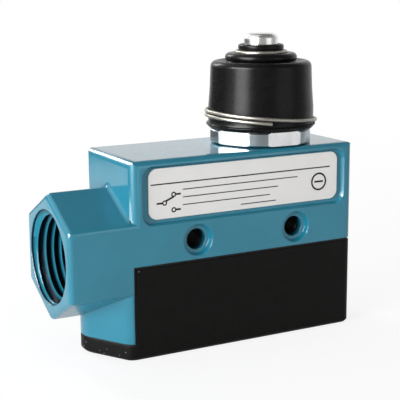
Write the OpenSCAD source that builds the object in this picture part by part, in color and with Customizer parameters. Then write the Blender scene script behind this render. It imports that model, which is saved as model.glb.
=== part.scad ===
// Enclosed basic switch: a snap-action switch in a die-cast housing with a conduit hub,
// a moulded cover over the wiring chamber and a booted overtravel plunger on top.
// X runs along the housing with the hub towards -X, the front face looks to -Y, Z is up.
// The origin lies on the back face, midway between the two mounting holes.

/* [Housing] */
// Length of the housing block between its end faces
body_l = 57.2; // [50:0.1:66]
// Depth from front face to back face, also the hub's width across flats
body_t = 24.8; // [24.2:0.1:30]
// Height of the top face above the mounting holes
top_h = 18.6; // [18.2:0.1:24]
// Depth of the bottom face below the mounting holes
bottom_d = 25.3; // [24:0.1:36]
// Thickness of the side and end walls
wall = 2.5; // [2.1:0.05:2.6]
// Thickness of the top wall
top_wall = 2.8; // [2.2:0.1:3.2]
// Radius of the block's upright edges
edge_r = 2; // [0.5:0.1:2.2]
// Radius of the edges round the top face
top_r = 1.6; // [0.3:0.1:1.6]
// Depth of the cover seam below the mounting holes
seam_d = 4.3; // [3.8:0.1:5.4]

/* [Conduit hub] */
// Length of the hub beyond the block's left face
hub_l = 14.6; // [14:0.1:24]
// Depth of the hub axis below the mounting holes
hub_drop = 2.8; // [2:0.1:3.6]
// Root diameter of the pipe thread
hub_bore_d = 21; // [18:0.1:21.6]
// Length of the threaded bore
hub_bore_l = 13.4; // [11:0.1:13.6]
// Diameter of the wire throat behind the thread
throat_d = 17.5; // [12:0.1:17.8]
// Height of the hub's front and back flats between their edges
hub_flat_h = 15.3; // [14:0.1:16]
// Radius of the hexagon's long edges
hub_corner_r = 1; // [0.4:0.1:2.4]
// Radius round the hub's end face
hub_end_r = 1.1; // [0.3:0.1:1.2]
// Height and reach of the blend between hub and block
hub_blend = 1; // [0.6:0.1:2.4]
// Width of the lead-in chamfer at the hub's mouth
hub_mouth_c = 0.1; // [0.1:0.1:0.6]

/* [Prow under the hub] */
// Step from the block's left face out to the prow's corner
prow_step = 0.8; // [0.4:0.1:2]
// Angle of the prow's two facets
prow_angle = 30; // [22:1:34]
// Radius of the prow's nose
prow_nose_r = 6; // [3:0.1:8]
// Radius of the prow's corners
prow_corner_r = 3; // [2.6:0.1:4]

/* [Mounting holes] */
// Distance between the two mounting holes
hole_spacing = 25.4; // [25:0.1:26]
// Diameter of the mounting holes
hole_d = 4.7; // [3:0.1:4.8]
// Diameter of the spot face at the front
spot_d = 7.2; // [6:0.1:8]
// Depth of the spot face
spot_depth = 1.2; // [0.4:0.1:1.6]
// Diameter of the bosses that clamp the inner switch
hole_boss_d = 9.2; // [7:0.1:10]

/* [Nameplate] */
// Distance of the recess from the block's end faces
recess_margin = 2.5; // [2:0.1:6]
// Distance of the recess from the top face
recess_drop = 1.25; // [0.8:0.05:1.6]
// Height of the recess
recess_h = 13.1; // [12.2:0.1:13.4]
// Depth of the recess
recess_depth = 1; // [0.5:0.1:1.4]
// Draw-in of the recess walls from the front to the floor
recess_draft = 0.5; // [0.1:0.1:0.6]
// Corner radius of the recess
recess_r = 2.2; // [1:0.1:4]
// Gap between the plate's ends and the recess
label_end_gap = 1.75; // [1:0.05:6]
// Gap between the plate's long edges and the recess
label_edge_gap = 1; // [0.9:0.05:2]
// Distance of the plate's centre above the recess centre
label_lift = 0.3; // [0:0.05:0.35]
// Thickness of the plate
label_t = 0.4; // [0.2:0.05:0.5]
// Corner radius of the plate
label_r = 2; // [1:0.1:4]

/* [Cover] */
// Thickness of the cover's upright walls
cover_wall = 2.4; // [2:0.05:2.5]
// Thickness of the cover's bottom plate
plate_t = 3.2; // [2.8:0.1:5]
// Chamfer along the plate's lower edge
plate_edge = 0.6; // [0.2:0.1:1]
// Thickness of the gasket in the joint
joint_gap = 0.6; // [0.3:0.05:0.8]
// Depth of the gasket's edge behind the outer surface
gasket_inset = 0.3; // [0.3:0.1:0.8]
// Distance of the cover's left edge inside the block's left face
cover_inset = 0.8; // [0.7:0.05:1]
// Depth of the lip that the housing puts inside the cover
lip_d = 5.7; // [4.6:0.1:8]
// Gap between the lip and the cover's wall
lip_gap = 0.15; // [0.1:0.05:0.3]

/* [Cover screws] */
// Thread diameter of the cover screws
cover_screw_d = 3; // [2.5:0.1:3.4]
// Reach of the thread above the plate
cover_screw_reach = 5; // [3:0.1:5.6]
// Head diameter
cover_head_d = 5.6; // [5:0.1:6]
// Head height
cover_head_h = 1.7; // [1.2:0.1:1.8]
// Diameter of the housing's screw pillars
pillar_d = 6; // [5:0.1:6.4]

/* [Actuator bushing] */
// Distance of the plunger axis from the middle of the mounting holes
plunger_x = 10.7; // [9.9:0.1:11.4]
// Thickness of the seal under the bushing
seal_t = 0.3; // [0.2:0.05:1.2]
// Width of the hexagon across flats
hex_af = 23.1; // [22.6:0.1:24]
// Diameter over the hexagon's turned corners
hex_od = 24.6; // [24.2:0.1:25]
// Height of the hexagon
hex_h = 3.15; // [2:0.05:6]
// Turn of the hexagon about the plunger axis
hex_turn = -3.5; // [-30:0.5:30]
// Diameter of the spigot screwed into the housing
spigot_d = 15; // [14.4:0.1:17]
// Diameter of the collar inside the boot
collar_d = 22; // [20:0.1:22.2]
// Height of the collar
collar_h = 3.9; // [3.6:0.1:5]
// Diameter of the spring chamber in the bushing
chamber_d = 11.8; // [11.2:0.1:12.2]
// Thickness of the bushing wall round the spring chamber and the guide
bushing_wall = 1.8; // [1.2:0.1:2.2]
// Length of the guide bore
guide_l = 4.4; // [3:0.1:4.6]

/* [Plunger] */
// Diameter of the plunger
plunger_d = 7.94; // [7:0.02:8.2]
// Height of the plunger's tip above the top face
tip_h = 25.15; // [24:0.05:30]
// Radius round the plunger's tip
tip_r = 1.4; // [0.3:0.1:1.8]
// Travel of the plunger
plunger_travel = 5.6; // [4:0.1:6]
// Gap between the plunger's stop flange and the spring chamber
flange_gap = 0.4; // [0.3:0.05:0.7]
// Thickness of the stop flange
flange_t = 1.5; // [1:0.1:2]
// Length of the tail below the flange
tail_l = 2.6; // [2:0.1:2.6]
// Diameter of the bore for the overtravel spring
spring_bore_d = 5.6; // [5.2:0.1:5.8]
// Depth of the bore for the overtravel spring
spring_bore_l = 15.2; // [13:0.1:17]
// Diameter of the striker pin
striker_d = 2.9; // [2:0.1:3.2]
// Height of the striker's head
striker_head_h = 1.2; // [0.8:0.1:2]
// Thickness of the ring that keeps the striker in the plunger
retainer_t = 0.8; // [0.5:0.1:1.2]
// Thickness of the return spring's seat
seat_t = 0.7; // [0.5:0.1:1]

/* [Springs] */
// Wire diameter of the return spring
return_wire_d = 0.7; // [0.5:0.05:0.8]
// Active turns of the return spring
return_turns = 3.5; // [2.5:0.5:4]
// Wire diameter of the overtravel spring
over_wire_d = 0.6; // [0.4:0.05:0.7]
// Active turns of the overtravel spring
over_turns = 8; // [5:0.5:10]

/* [Rubber boot] */
// Diameter of the bead at the boot's foot
bead_d = 25.6; // [25.2:0.1:28]
// Height of the bead
bead_h = 1.1; // [0.8:0.1:1.6]
// Depth of the groove above the bead, where the wire sits
groove_depth = 0.5; // [0.3:0.05:0.7]
// Diameter of the skirt at its shoulder
shoulder_d = 23.5; // [22.6:0.1:24.2]
// Height of the shoulder's rim above the top face
ledge_h = 18.9; // [18:0.1:19]
// Radius of the shoulder
shoulder_r = 1.4; // [1.2:0.1:2]
// Fall of the ledge from the shoulder's rim to the crown
ledge_dish = 0.55; // [0.2:0.05:0.6]
// Diameter of the crown
crown_d = 16.7; // [15.4:0.1:18]
// Height of the crown above the foot of the ledge
crown_h = 2.35; // [2.1:0.05:2.8]
// Diameter of the lip round the plunger
lip_ring_d = 10.6; // [10:0.1:11]
// Height of the lip above the neck ring
lip_ring_h = 1.3; // [1:0.05:1.8]
// Wall thickness of the rubber
rubber_t = 1.1; // [0.8:0.1:1.2]

/* [Boot clamp and neck ring] */
// Wire diameter of the clamp
clamp_wire_d = 0.85; // [0.5:0.05:0.9]
// Rise of the clamp in each turn
clamp_pitch = 1.02; // [0.98:0.01:1.1]
// Turns of the clamp
clamp_turns = 1.43; // [1.1:0.01:1.8]
// Slant of the clamp, high towards the hub
clamp_tilt = 4.4; // [3:0.1:5]
// Direction of the clamp's cut end, counted from +X
clamp_end = 250.3; // [240:0.1:260]
// Wire diameter of the ring round the boot's neck
neck_wire_d = 0.9; // [0.6:0.05:1]

/* [Inner switch] */
// Gap between the switch case and the housing's end walls
case_end_gap = 1.5; // [0.6:0.1:2]
// Gap between the switch case and the housing's front and back walls
case_side_gap = 1.175; // [1:0.025:1.4]
// Height of the case's top above the mounting holes
case_top = 12.6; // [12.4:0.1:12.9]
// Depth of the case's bottom below the mounting holes
case_bottom = 6.2; // [6:0.1:6.6]
// Height of the split between base and lid above the mounting holes
split_h = 4; // [3.4:0.05:4.2]
// Width of the contact chamber
chamber_w = 10; // [8:0.1:11]
// Thickness of the lid's roof over the contact chamber
roof_t = 2.2; // [1.8:0.1:2.4]
// Diameter of the push button
button_d = 4.2; // [3.6:0.1:4.4]
// Height of the button above the case
button_h = 3.4; // [3.2:0.05:3.5]
// Diameter of the two case rivets
rivet_d = 2.4; // [1.8:0.1:2.6]

/* [Contacts and terminals] */
// Thickness of the terminal strips
strip_t = 0.5; // [0.4:0.05:0.6]
// Width of the terminal strips
strip_w = 6; // [5:0.1:7]
// Length of the terminal pads
pad_l = 8.8; // [8:0.1:9.2]
// Distance of the outer terminals' legs from the ends of the case
leg_inset = 2; // [1.8:0.1:2.4]
// Place of the normally open terminal's screw along the case
open_x = -0.6; // [-2:0.1:1]
// Distance of the contacts from the normally closed terminal's leg
contact_back = 4.3; // [3.8:0.1:5.6]
// Diameter of the contact rivets
contact_d = 3.2; // [2.4:0.1:3.6]
// Thickness of each fixed contact
contact_t = 0.45; // [0.3:0.05:0.5]
// Thickness of the moving contact
moving_contact_t = 1.2; // [0.9:0.05:1.3]
// Gap that opens between the contacts
contact_gap = 0.6; // [0.4:0.05:0.7]
// Thickness of the snap blade
blade_t = 0.2; // [0.1:0.02:0.3]
// Distance of the blade's hinge line from the common terminal's leg
hinge_reach = 7.6; // [7:0.1:8.4]
// Thread diameter of the terminal screws
terminal_screw_d = 3.4; // [3:0.1:3.6]
// Head diameter of the terminal screws
terminal_head_d = 5.8; // [5:0.1:6.2]
// Head height of the terminal screws
terminal_head_h = 2.2; // [1.6:0.1:2.6]
// Thickness of the terminal washers
washer_t = 0.8; // [0.5:0.1:1]

/* [Ground screw] */
// Place of the ground screw along the housing
ground_x = -8; // [-8.6:0.1:-7.8]
// Thread diameter of the ground screw
ground_screw_d = 3.5; // [3:0.1:3.8]
// Head diameter of the ground screw
ground_head_d = 6.4; // [5.6:0.1:6.6]
// Head height of the ground screw
ground_head_h = 2.2; // [1.6:0.1:2.4]
// Width and height of the ground screw's boss
ground_boss = 7.4; // [7:0.1:7.6]

/* [Hidden] */

$fn = 64;
hull_fn = 40;
cut = 1;
thin = 0.01;

// Clearances between pieces that slide, rest, screw together or pass through a hole
slide_gap = 0.04;
seat_gap = 0.05;
thread_gap = 0.05;
case_gap = 0.12;
press_gap = 0.02;
hole_play = 0.1;
head_play = 0.3;

// Small forms that several pieces share
merge = 0.5;
blind = 0.4;
edge_c = 0.3;
slot_w = 0.8;
slot_depth = 0.9;

// Main planes
y_mid = -body_t / 2;
x_left = -body_l / 2;
x_right = body_l / 2;
z_bottom = -bottom_d;
z_seam = -seam_d;
z_plate = z_bottom + plate_t;
z_ceiling = top_h - top_wall;
z_hub = -hub_drop;
inner_half = body_t / 2 - wall;
case_l = body_l - 2 * (wall + case_end_gap);
case_half = inner_half - case_side_gap;

// Hub and prow
x_hub_end = x_left - hub_l;
hub_peak = body_t / 2 / cos(30);
hub_slope = atan((hub_peak - hub_flat_h / 2) / (body_t / 2));
x_bore_end = x_hub_end + hub_bore_l;
x_joint = x_left + cover_inset;
x_post = x_joint - joint_gap;
x_prow = x_left - prow_step;
x_nose = x_prow - body_t / 2 * tan(prow_angle);
hub_wall_under = 1.8;
z_prow_roof = z_hub - hub_bore_d / 2 - hub_wall_under;

// Cover joint
lip_out = body_t / 2 - cover_wall - lip_gap;
lip_in = case_half + case_gap;
lip_root = 2.5;
pillar_r = pillar_d / 2;
pillar_short = 0.2;
z_pillar_top = -case_bottom - pillar_short;
x_nose_inside = x_nose + prow_nose_r * (1 / cos(prow_angle) - 1) + wall;
nose_pillar_x = x_nose_inside + pillar_r - merge;
end_pillar_x = x_right - cover_wall - lip_gap - pillar_r;
end_pillar_y = lip_out - pillar_r;
cover_screw_places = [[nose_pillar_x, 0], [end_pillar_x, end_pillar_y], [end_pillar_x, -end_pillar_y]];
head_below = 0.2;
head_sink = cover_head_h + head_below;
hollow_r = 1;
spot_taper = 0.5;
recess_l = body_l - 2 * recess_margin;
recess_rise = top_h - recess_drop - recess_h / 2;
label_l = recess_l - 2 * label_end_gap;
label_h = recess_h - 2 * label_edge_gap;
label_rise = recess_rise + label_lift;

// Actuator, as heights above the mounting holes
seal_inset = 0.9;
z_hex = top_h + seal_t;
z_collar = z_hex + hex_h;
z_collar_top = z_collar + collar_h;
z_spigot = z_ceiling + hole_play;
spring_lip_t = 0.3;
spring_lip_w = 0.7;
spring_lip_r = chamber_d / 2 - spring_lip_w;
z_seat = z_spigot + spring_lip_t;
z_spring_low = z_seat + seat_t;
return_rest = return_wire_d * (return_turns + 1) + plunger_travel;
z_flange = z_spring_low + return_rest;
z_stop = z_flange + flange_t + seat_gap;
z_guide_top = z_stop + guide_l;
z_tail = z_flange - tail_l;
z_tip = top_h + tip_h;
z_spring_top = z_tail + spring_bore_l;
z_button = case_top + button_h;
z_striker = z_button + seat_gap;
z_striker_head = z_tail + retainer_t + seat_gap;
z_striker_top = z_striker_head + striker_head_h;
plunger_r = plunger_d / 2;
crease = 0.25;
lip_round = 0.5;
lip_dish = 0.35;
boot_foot = z_collar;
z_rim = top_h + ledge_h;
z_ledge = z_rim - ledge_dish;
neck_depth = 0.1;
neck_sink = 0.3;
neck_r = lip_ring_d / 2 - neck_depth;
neck_ring_r = neck_r + seat_gap + neck_wire_d / 2;
z_neck_ring = z_ledge + crown_h + neck_wire_d / 2 - neck_sink;
z_lip_foot = z_neck_ring + neck_wire_d / 2 + seat_gap;
z_lip_top = z_lip_foot + lip_ring_h;
z_groove = boot_foot + bead_h;
groove_r = bead_d / 2 - groove_depth;
bead_draft = 0.6;
clamp_r = groove_r + seat_gap + clamp_wire_d / 2;
clamp_sway = clamp_r * tan(clamp_tilt);
clamp_settle = 0.78;
z_clamp = z_groove + seat_gap + clamp_wire_d / 2 + clamp_sway - clamp_settle;

// Contacts, as heights above the mounting holes
z_open_arm = split_h + strip_t;
z_open_face = z_open_arm + contact_t;
z_moving_low = z_open_face + seat_gap + contact_gap;
z_moving_high = z_moving_low + moving_contact_t;
z_blade = (z_moving_low + z_moving_high - blade_t) / 2;
z_closed_face = z_moving_high + seat_gap;
z_closed_arm = z_closed_face + contact_t;
z_roof = case_top - roof_t;
z_pad = -case_bottom - strip_t;
z_washer = z_pad - washer_t;
case_end_wall = 1.4;
chamber_half_l = case_l / 2 - case_end_wall;
common_leg_x = -case_l / 2 + leg_inset;
common_x = common_leg_x + pad_l / 2;
open_leg_x = open_x + pad_l / 2;
closed_leg_x = case_l / 2 - leg_inset - strip_t;
closed_x = closed_leg_x - pad_l / 2;
contact_x = closed_leg_x - contact_back;
blade_hinge_x = common_leg_x + hinge_reach;
terminal_places = [common_x, open_x, closed_x];
screw_sink = 3.6;
keeper_rim = 0.9;
keeper_t = 1.2;
rivet_places = [[-6, -1], [6, 1]];
rivet_head_h = 0.5;
rivet_rim = 0.7;
rivet_y = (chamber_w / 2 + case_half) / 2;
case_edge_r = 0.8;
arm_rim = 0.4;
ground_boss_depth = 4.4;
ground_clear = 0.8;
ground_tip_gap = 0.2;
z_ground = -case_bottom - ground_clear - ground_boss / 2;
y_ground = -(body_t / 2 - lip_out) - ground_boss_depth;

// Points of an arc in the profile plane, from one angle to another
function arc(centre, r, from, to, steps = 10) =
    [for (i = [0:steps])
        let (a = from + (to - from) * i / steps)
        centre + r * [cos(a), sin(a)]];

// Rectangle with round corners, centred
module rounded_rect(size, r) {
    square([size.x - 2 * r, size.y], center = true);
    square([size.x, size.y - 2 * r], center = true);
    for (sx = [-1, 1], sy = [-1, 1])
        translate([sx * (size.x / 2 - r), sy * (size.y / 2 - r)]) circle(r);
}

// Convex outline through the given points with round corners
module round_corners(points, r) {
    count = len(points);
    tips = [for (i = [0:count - 1])
        let (
            u = unit(points[(i + count - 1) % count] - points[i]),
            v = unit(points[(i + 1) % count] - points[i]),
            half = acos(u * v) / 2)
        [
            points[i] + u * r / tan(half),
            points[i] + v * r / tan(half),
            points[i] + unit(u + v) * r / sin(half)]];
    polygon([for (t = tips, k = [0, 1]) t[k]]);
    for (t = tips)
        translate(t[2]) circle(r);
}
function unit(v) = v / norm(v);

// Plan of the lower part with its prow, drawn in by the given distance, centred on the mid depth
module lower_outline(inset = 0) {
    half = body_t / 2 - inset;
    xr = x_right - inset;
    xc = x_prow + inset * (1 - sin(prow_angle)) / cos(prow_angle);
    xn = x_nose + inset / cos(prow_angle);
    nose_r = prow_nose_r - inset;
    corner_r = max(prow_corner_r - inset, 0.3);
    end_r = max(edge_r - inset, 0.3);
    nose_t = nose_r * tan(prow_angle);
    corner_t = corner_r / tan(45 + prow_angle / 2);
    along = [sin(prow_angle), cos(prow_angle)];
    upper = [
        [xn + nose_t * along.x, nose_t * along.y],
        [xc - corner_t * along.x, half - corner_t * along.y],
        [xc + corner_t, half],
        [xr - end_r, half],
        [xr, half - end_r]];
    polygon(concat(upper, [for (i = [4:-1:0]) [upper[i].x, -upper[i].y]]));
    translate([xn + nose_r / cos(prow_angle), 0]) circle(nose_r);
    for (s = [-1, 1]) {
        translate([xc + corner_t, s * (half - corner_r)]) circle(corner_r);
        translate([xr - end_r, s * (half - end_r)]) circle(end_r);
    }
}

// Half plane right of x, or left of x, for cutting plans
module right_of(x) {
    translate([x, -body_t]) square([2 * body_l, 2 * body_t]);
}
module left_of(x) {
    translate([x - 2 * body_l, -body_t]) square([2 * body_l, 2 * body_t]);
}

// Extrudes a plan that is centred on the mid depth
module upright(z0, z1) {
    translate([0, y_mid, z0]) linear_extrude(z1 - z0) children();
}

// Extrudes a hub section along +X from x0
module along_hub(x0, length) {
    translate([x0, y_mid, z_hub]) rotate([90, 0, 90]) linear_extrude(length) children();
}

// Revolves a profile about the plunger axis
module on_plunger() {
    translate([plunger_x, y_mid, 0]) rotate_extrude($fn = 96) children();
}

// Round bar along the back-to-front direction, from y0 towards the front
module crossbar(x, z, r, y0, length) {
    translate([x, y0, z]) rotate([90, 0, 0]) cylinder(r = r, h = length);
}

// Flat strip bar given by two opposite corners in X and Z, centred on the mid depth
module strip(x0, x1, z0, z1, width) {
    translate([x0, y_mid - width / 2, z0]) cube([x1 - x0, width, z1 - z0]);
}

// Round wire wound about the Z axis, from angle a0, with a slant that is high towards -X
module wound_wire(r, wire_r, z0, rise, turns, a0 = 0, slant = 0, steps = 24, sides = 8) {
    rings = ceil(turns * steps);
    points = [for (i = [0:rings], j = [0:sides - 1])
        let (a = a0 + 360 * turns * i / rings, b = 360 * j / sides, rr = r + wire_r * cos(b))
        [rr * cos(a), rr * sin(a), z0 + rise * i / rings - slant * cos(a) + wire_r * sin(b)]];
    walls = [for (i = [0:rings - 1], j = [0:sides - 1])
        let (k = (j + 1) % sides)
        [i * sides + j, i * sides + k, (i + 1) * sides + k, (i + 1) * sides + j]];
    first = [for (j = [sides - 1:-1:0]) j];
    last = [for (j = [0:sides - 1]) rings * sides + j];
    polyhedron(points, concat(walls, [first, last]), convexity = 6);
}

// Block with round upright edges and round edges at its top
module rounded_block() {
    height = top_h - z_seam;
    intersection() {
        upright(z_seam, top_h) rounded_rect([body_l, body_t], edge_r);
        translate([0, 0, z_seam]) rotate([90, 0, 0]) translate([0, 0, -cut]) linear_extrude(body_t + 2 * cut)
            top_rounded(body_l, height);
        translate([x_left - cut, y_mid, z_seam]) rotate([90, 0, 90]) linear_extrude(body_l + 2 * cut)
            top_rounded(body_t, height);
    }
}

// Upright rectangle on the base line with its two upper corners round
module top_rounded(width, height) {
    translate([-width / 2, 0]) square([width, height - top_r]);
    translate([-width / 2 + top_r, 0]) square([width - 2 * top_r, height]);
    for (s = [-1, 1])
        translate([s * (width / 2 - top_r), height - top_r]) circle(top_r);
}

// Hexagonal hub with a rounded end and a hollow blend up to the block
module hub_body() {
    end_steps = 3;
    blend_steps = 5;
    hull() {
        for (i = [0:end_steps])
            let (a = 90 * i / end_steps)
            along_hub(x_hub_end + hub_end_r * (1 - cos(a)), thin) hub_section(hub_end_r * (sin(a) - 1));
        along_hub(x_left, edge_r) hub_section(0);
    }
    for (i = [0:blend_steps - 1])
        hull() {
            blend_slice(90 * i / blend_steps);
            blend_slice(90 * (i + 1) / blend_steps);
        }
}

// One slice of the hollow blend, from under the hub's skin at 0 degrees to its full rise at 90.
// It thins out towards the front and the back, where the block's upright edges are round.
module blend_slice(a) {
    rise = hub_blend * (1 - cos(a)) / cos(hub_slope) - press_gap;
    ridge = hub_corner_r / 2;
    flank = body_t / 2 - 2 * edge_r;
    rim = body_t / 2 - edge_c;
    right = [[ridge, facet_z(ridge) + rise], [flank, facet_z(flank) + rise], [rim, facet_z(rim) - press_gap]];
    along_hub(x_left - hub_blend * (1 - sin(a)), thin)
        polygon(concat([[0, 0]], [for (i = [2:-1:0]) right[i]], [for (p = right) [-p.x, p.y]]));
}

// Height of the hub's upper facets above its axis, at a distance from the middle
function facet_z(y) = hub_peak - y * tan(hub_slope);

// Six-sided section of the hub, drawn in where the given distance is negative
module hub_section(grown) {
    half = body_t / 2 + grown;
    peak = hub_peak + grown / cos(hub_slope);
    side = peak - half * tan(hub_slope);
    round_corners([[0, peak], [-half, side], [-half, -side], [0, -peak], [half, -side], [half, side]],
        hub_corner_r, $fn = hull_fn);
}

// Outer form of the housing before it is hollowed
module housing_form() {
    rounded_block();
    difference() {
        union() {
            hub_body();
            upright(z_plate + joint_gap, z_hub) intersection() {
                lower_outline();
                left_of(x_left + cut);
            }
        }
        translate([x_post, -body_t - cut, z_bottom - cut])
            cube([body_l, body_t + 2 * cut, z_seam - z_bottom + cut]);
    }
}

// Hollows of the housing: switch space, prow, wire shaft, throat and thread
module housing_hollows() {
    mouth_r = hub_bore_d / 2 + hub_mouth_c;
    upright(z_seam - cut, z_ceiling) rounded_rect([body_l - 2 * wall, 2 * inner_half], hollow_r);
    upright(z_bottom - cut, z_prow_roof) intersection() {
        lower_outline(wall);
        left_of(x_left + wall + cut);
    }
    upright(z_bottom - cut, z_hub) intersection() {
        lower_outline(wall);
        left_of(x_left + wall + cut);
        right_of(x_bore_end);
    }
    along_hub(x_bore_end - cut, x_left + wall + 2 * cut - x_bore_end) circle(throat_d / 2);
    along_hub(x_hub_end - cut, hub_bore_l + cut) circle(hub_bore_d / 2);
    translate([x_hub_end - thin, y_mid, z_hub]) rotate([0, 90, 0])
        cylinder(r1 = mouth_r, r2 = hub_bore_d / 2, h = hub_mouth_c);
}

// Lip inside the cover, screw pillars, ground boss and the bosses at the mounting holes
module housing_ribs() {
    for (s = [-1, 1]) {
        translate([x_left + wall, y_mid + (s > 0 ? lip_in : -lip_out), z_seam - lip_d])
            cube([body_l - wall - cover_wall - lip_gap, lip_out - lip_in, lip_d]);
        translate([x_left + wall - cut, y_mid + (s > 0 ? lip_in : -inner_half - merge), z_seam])
            cube([body_l - 2 * wall + 2 * cut, inner_half + merge - lip_in, lip_root]);
        for (t = [-1, 1])
            translate([t * hole_spacing / 2, y_mid + s * case_half, 0]) rotate([-90 * s, 0, 0])
                linear_extrude(inner_half - case_half + merge) intersection() {
                    circle(hole_boss_d / 2);
                    square([hole_boss_d, 2 * (seam_d - seat_gap)], center = true);
                }
        translate([end_pillar_x, y_mid + s * end_pillar_y, z_plate])
            cylinder(r = pillar_r, h = z_pillar_top - z_plate);
    }
    translate([nose_pillar_x, y_mid, z_plate])
        cylinder(r = pillar_r, h = z_prow_roof + merge - z_plate);
    translate([ground_x - ground_boss / 2, y_ground, z_ground - ground_boss / 2])
        cube([ground_boss, ground_boss_depth, ground_boss]);
}

// Holes that are drilled last
module housing_holes() {
    for (t = [-1, 1]) {
        crossbar(t * hole_spacing / 2, 0, hole_d / 2, cut, body_t + 2 * cut);
        translate([t * hole_spacing / 2, -body_t + spot_depth, 0]) rotate([90, 0, 0])
            cylinder(r1 = spot_d / 2 - spot_taper, r2 = spot_d / 2, h = spot_depth);
        translate([t * hole_spacing / 2, -body_t + thin, 0]) rotate([90, 0, 0])
            cylinder(r = spot_d / 2, h = cut);
    }
    translate([0, -body_t, recess_rise]) rotate([90, 0, 0]) hull() {
        translate([0, 0, -recess_depth]) linear_extrude(thin)
            rounded_rect([recess_l - 2 * recess_draft, recess_h - 2 * recess_draft], recess_r, $fn = hull_fn);
        linear_extrude(thin) rounded_rect([recess_l, recess_h], recess_r + recess_draft, $fn = hull_fn);
    }
    translate([plunger_x, y_mid, z_ceiling - cut])
        cylinder(r = spigot_d / 2 + thread_gap, h = top_wall + 2 * cut);
    for (p = cover_screw_places)
        translate([p.x, y_mid + p.y, z_plate - cut])
            cylinder(r = cover_screw_d / 2 + thread_gap, h = cover_screw_reach + blind + cut);
    crossbar(ground_x, z_ground, ground_screw_d / 2 + thread_gap, y_ground + ground_boss_depth - blind,
        ground_boss_depth + cut);
}

module housing() {
    color("#3f8aa3") difference() {
        union() {
            difference() {
                housing_form();
                housing_hollows();
            }
            housing_ribs();
        }
        housing_holes();
    }
}

module cover() {
    color("#1d1d1c") difference() {
        union() {
            hull() {
                upright(z_bottom, z_bottom + thin) lower_outline(plate_edge, $fn = hull_fn);
                upright(z_bottom + plate_edge, z_plate) lower_outline($fn = hull_fn);
            }
            upright(z_plate, z_seam - joint_gap) intersection() {
                difference() {
                    lower_outline();
                    lower_outline(cover_wall);
                }
                right_of(x_joint);
            }
        }
        for (p = cover_screw_places)
            translate([p.x, y_mid + p.y, z_bottom - cut]) {
                cylinder(r = cover_screw_d / 2 + hole_play, h = plate_t + 2 * cut);
                cylinder(r = cover_head_d / 2 + head_play, h = head_sink + cut);
            }
    }
}

// Gasket that follows the joint: over the cover's rim, down its two left edges and under the prow
module cover_gasket() {
    color("#26262a") {
        upright(z_seam - joint_gap, z_seam) intersection() {
            gasket_plan();
            right_of(x_post);
        }
        upright(z_plate, z_seam - joint_gap) intersection() {
            gasket_plan();
            right_of(x_post);
            left_of(x_joint);
        }
        upright(z_plate, z_plate + joint_gap) intersection() {
            gasket_plan();
            left_of(x_post);
        }
    }
}

module gasket_plan() {
    difference() {
        lower_outline(gasket_inset);
        lower_outline(cover_wall);
        translate([nose_pillar_x, 0]) circle(pillar_r + seat_gap);
    }
}

module cover_screws() {
    color("#b9bcbd")
        for (p = cover_screw_places)
            translate([p.x, y_mid + p.y, z_bottom + head_below]) difference() {
                union() {
                    cylinder(r = cover_head_d / 2, h = cover_head_h);
                    cylinder(r = cover_screw_d / 2, h = plate_t - head_below + cover_screw_reach);
                }
                for (a = [0, 90])
                    rotate(a) translate([-cover_head_d / 3, -slot_w / 2, -cut])
                        cube([2 * cover_head_d / 3, slot_w, slot_depth + cut]);
            }
}

module nameplate() {
    color("#dfdedb") translate([0, -body_t + recess_depth, label_rise]) rotate([90, 0, 0])
        linear_extrude(label_t) rounded_rect([label_l, label_h], label_r);
}

module bushing_seal() {
    color("#222224") translate([plunger_x, y_mid, top_h]) difference() {
        cylinder(r = hex_af / 2 - seal_inset, h = seal_t);
        translate([0, 0, -cut]) cylinder(r = spigot_d / 2 + hole_play, h = seal_t + 2 * cut);
    }
}

module hex_bushing() {
    chamber_wall_r = chamber_d / 2 + bushing_wall;
    guide_wall_r = plunger_r + bushing_wall;
    neck_in = bushing_wall / 2;
    z_neck_in = z_stop + neck_in;
    color("#c9cccd") difference() {
        union() {
            intersection() {
                translate([plunger_x, y_mid, z_hex]) rotate(hex_turn) linear_extrude(hex_h)
                    circle(hex_af / 2 / cos(30), $fn = 6);
                on_plunger() polygon([
                    [0, z_hex], [hex_od / 2 - edge_c, z_hex], [hex_od / 2, z_hex + edge_c],
                    [hex_od / 2, z_collar - edge_c], [hex_od / 2 - edge_c, z_collar], [0, z_collar]]);
            }
            on_plunger() polygon([
                [0, z_spigot], [spigot_d / 2 - edge_c, z_spigot], [spigot_d / 2, z_spigot + edge_c],
                [spigot_d / 2, z_hex + cut], [collar_d / 2, z_hex + cut],
                [collar_d / 2, z_collar_top - edge_c], [collar_d / 2 - edge_c, z_collar_top],
                [chamber_wall_r, z_collar_top], [chamber_wall_r, z_neck_in],
                [guide_wall_r, z_neck_in + neck_in], [guide_wall_r, z_guide_top], [0, z_guide_top]]);
        }
        on_plunger() polygon([
            [0, z_spigot - cut], [spring_lip_r, z_spigot - cut], [spring_lip_r, z_seat],
            [chamber_d / 2, z_seat], [chamber_d / 2, z_stop], [plunger_r + slide_gap, z_stop],
            [plunger_r + slide_gap, z_guide_top + cut], [0, z_guide_top + cut]]);
    }
}

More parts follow.
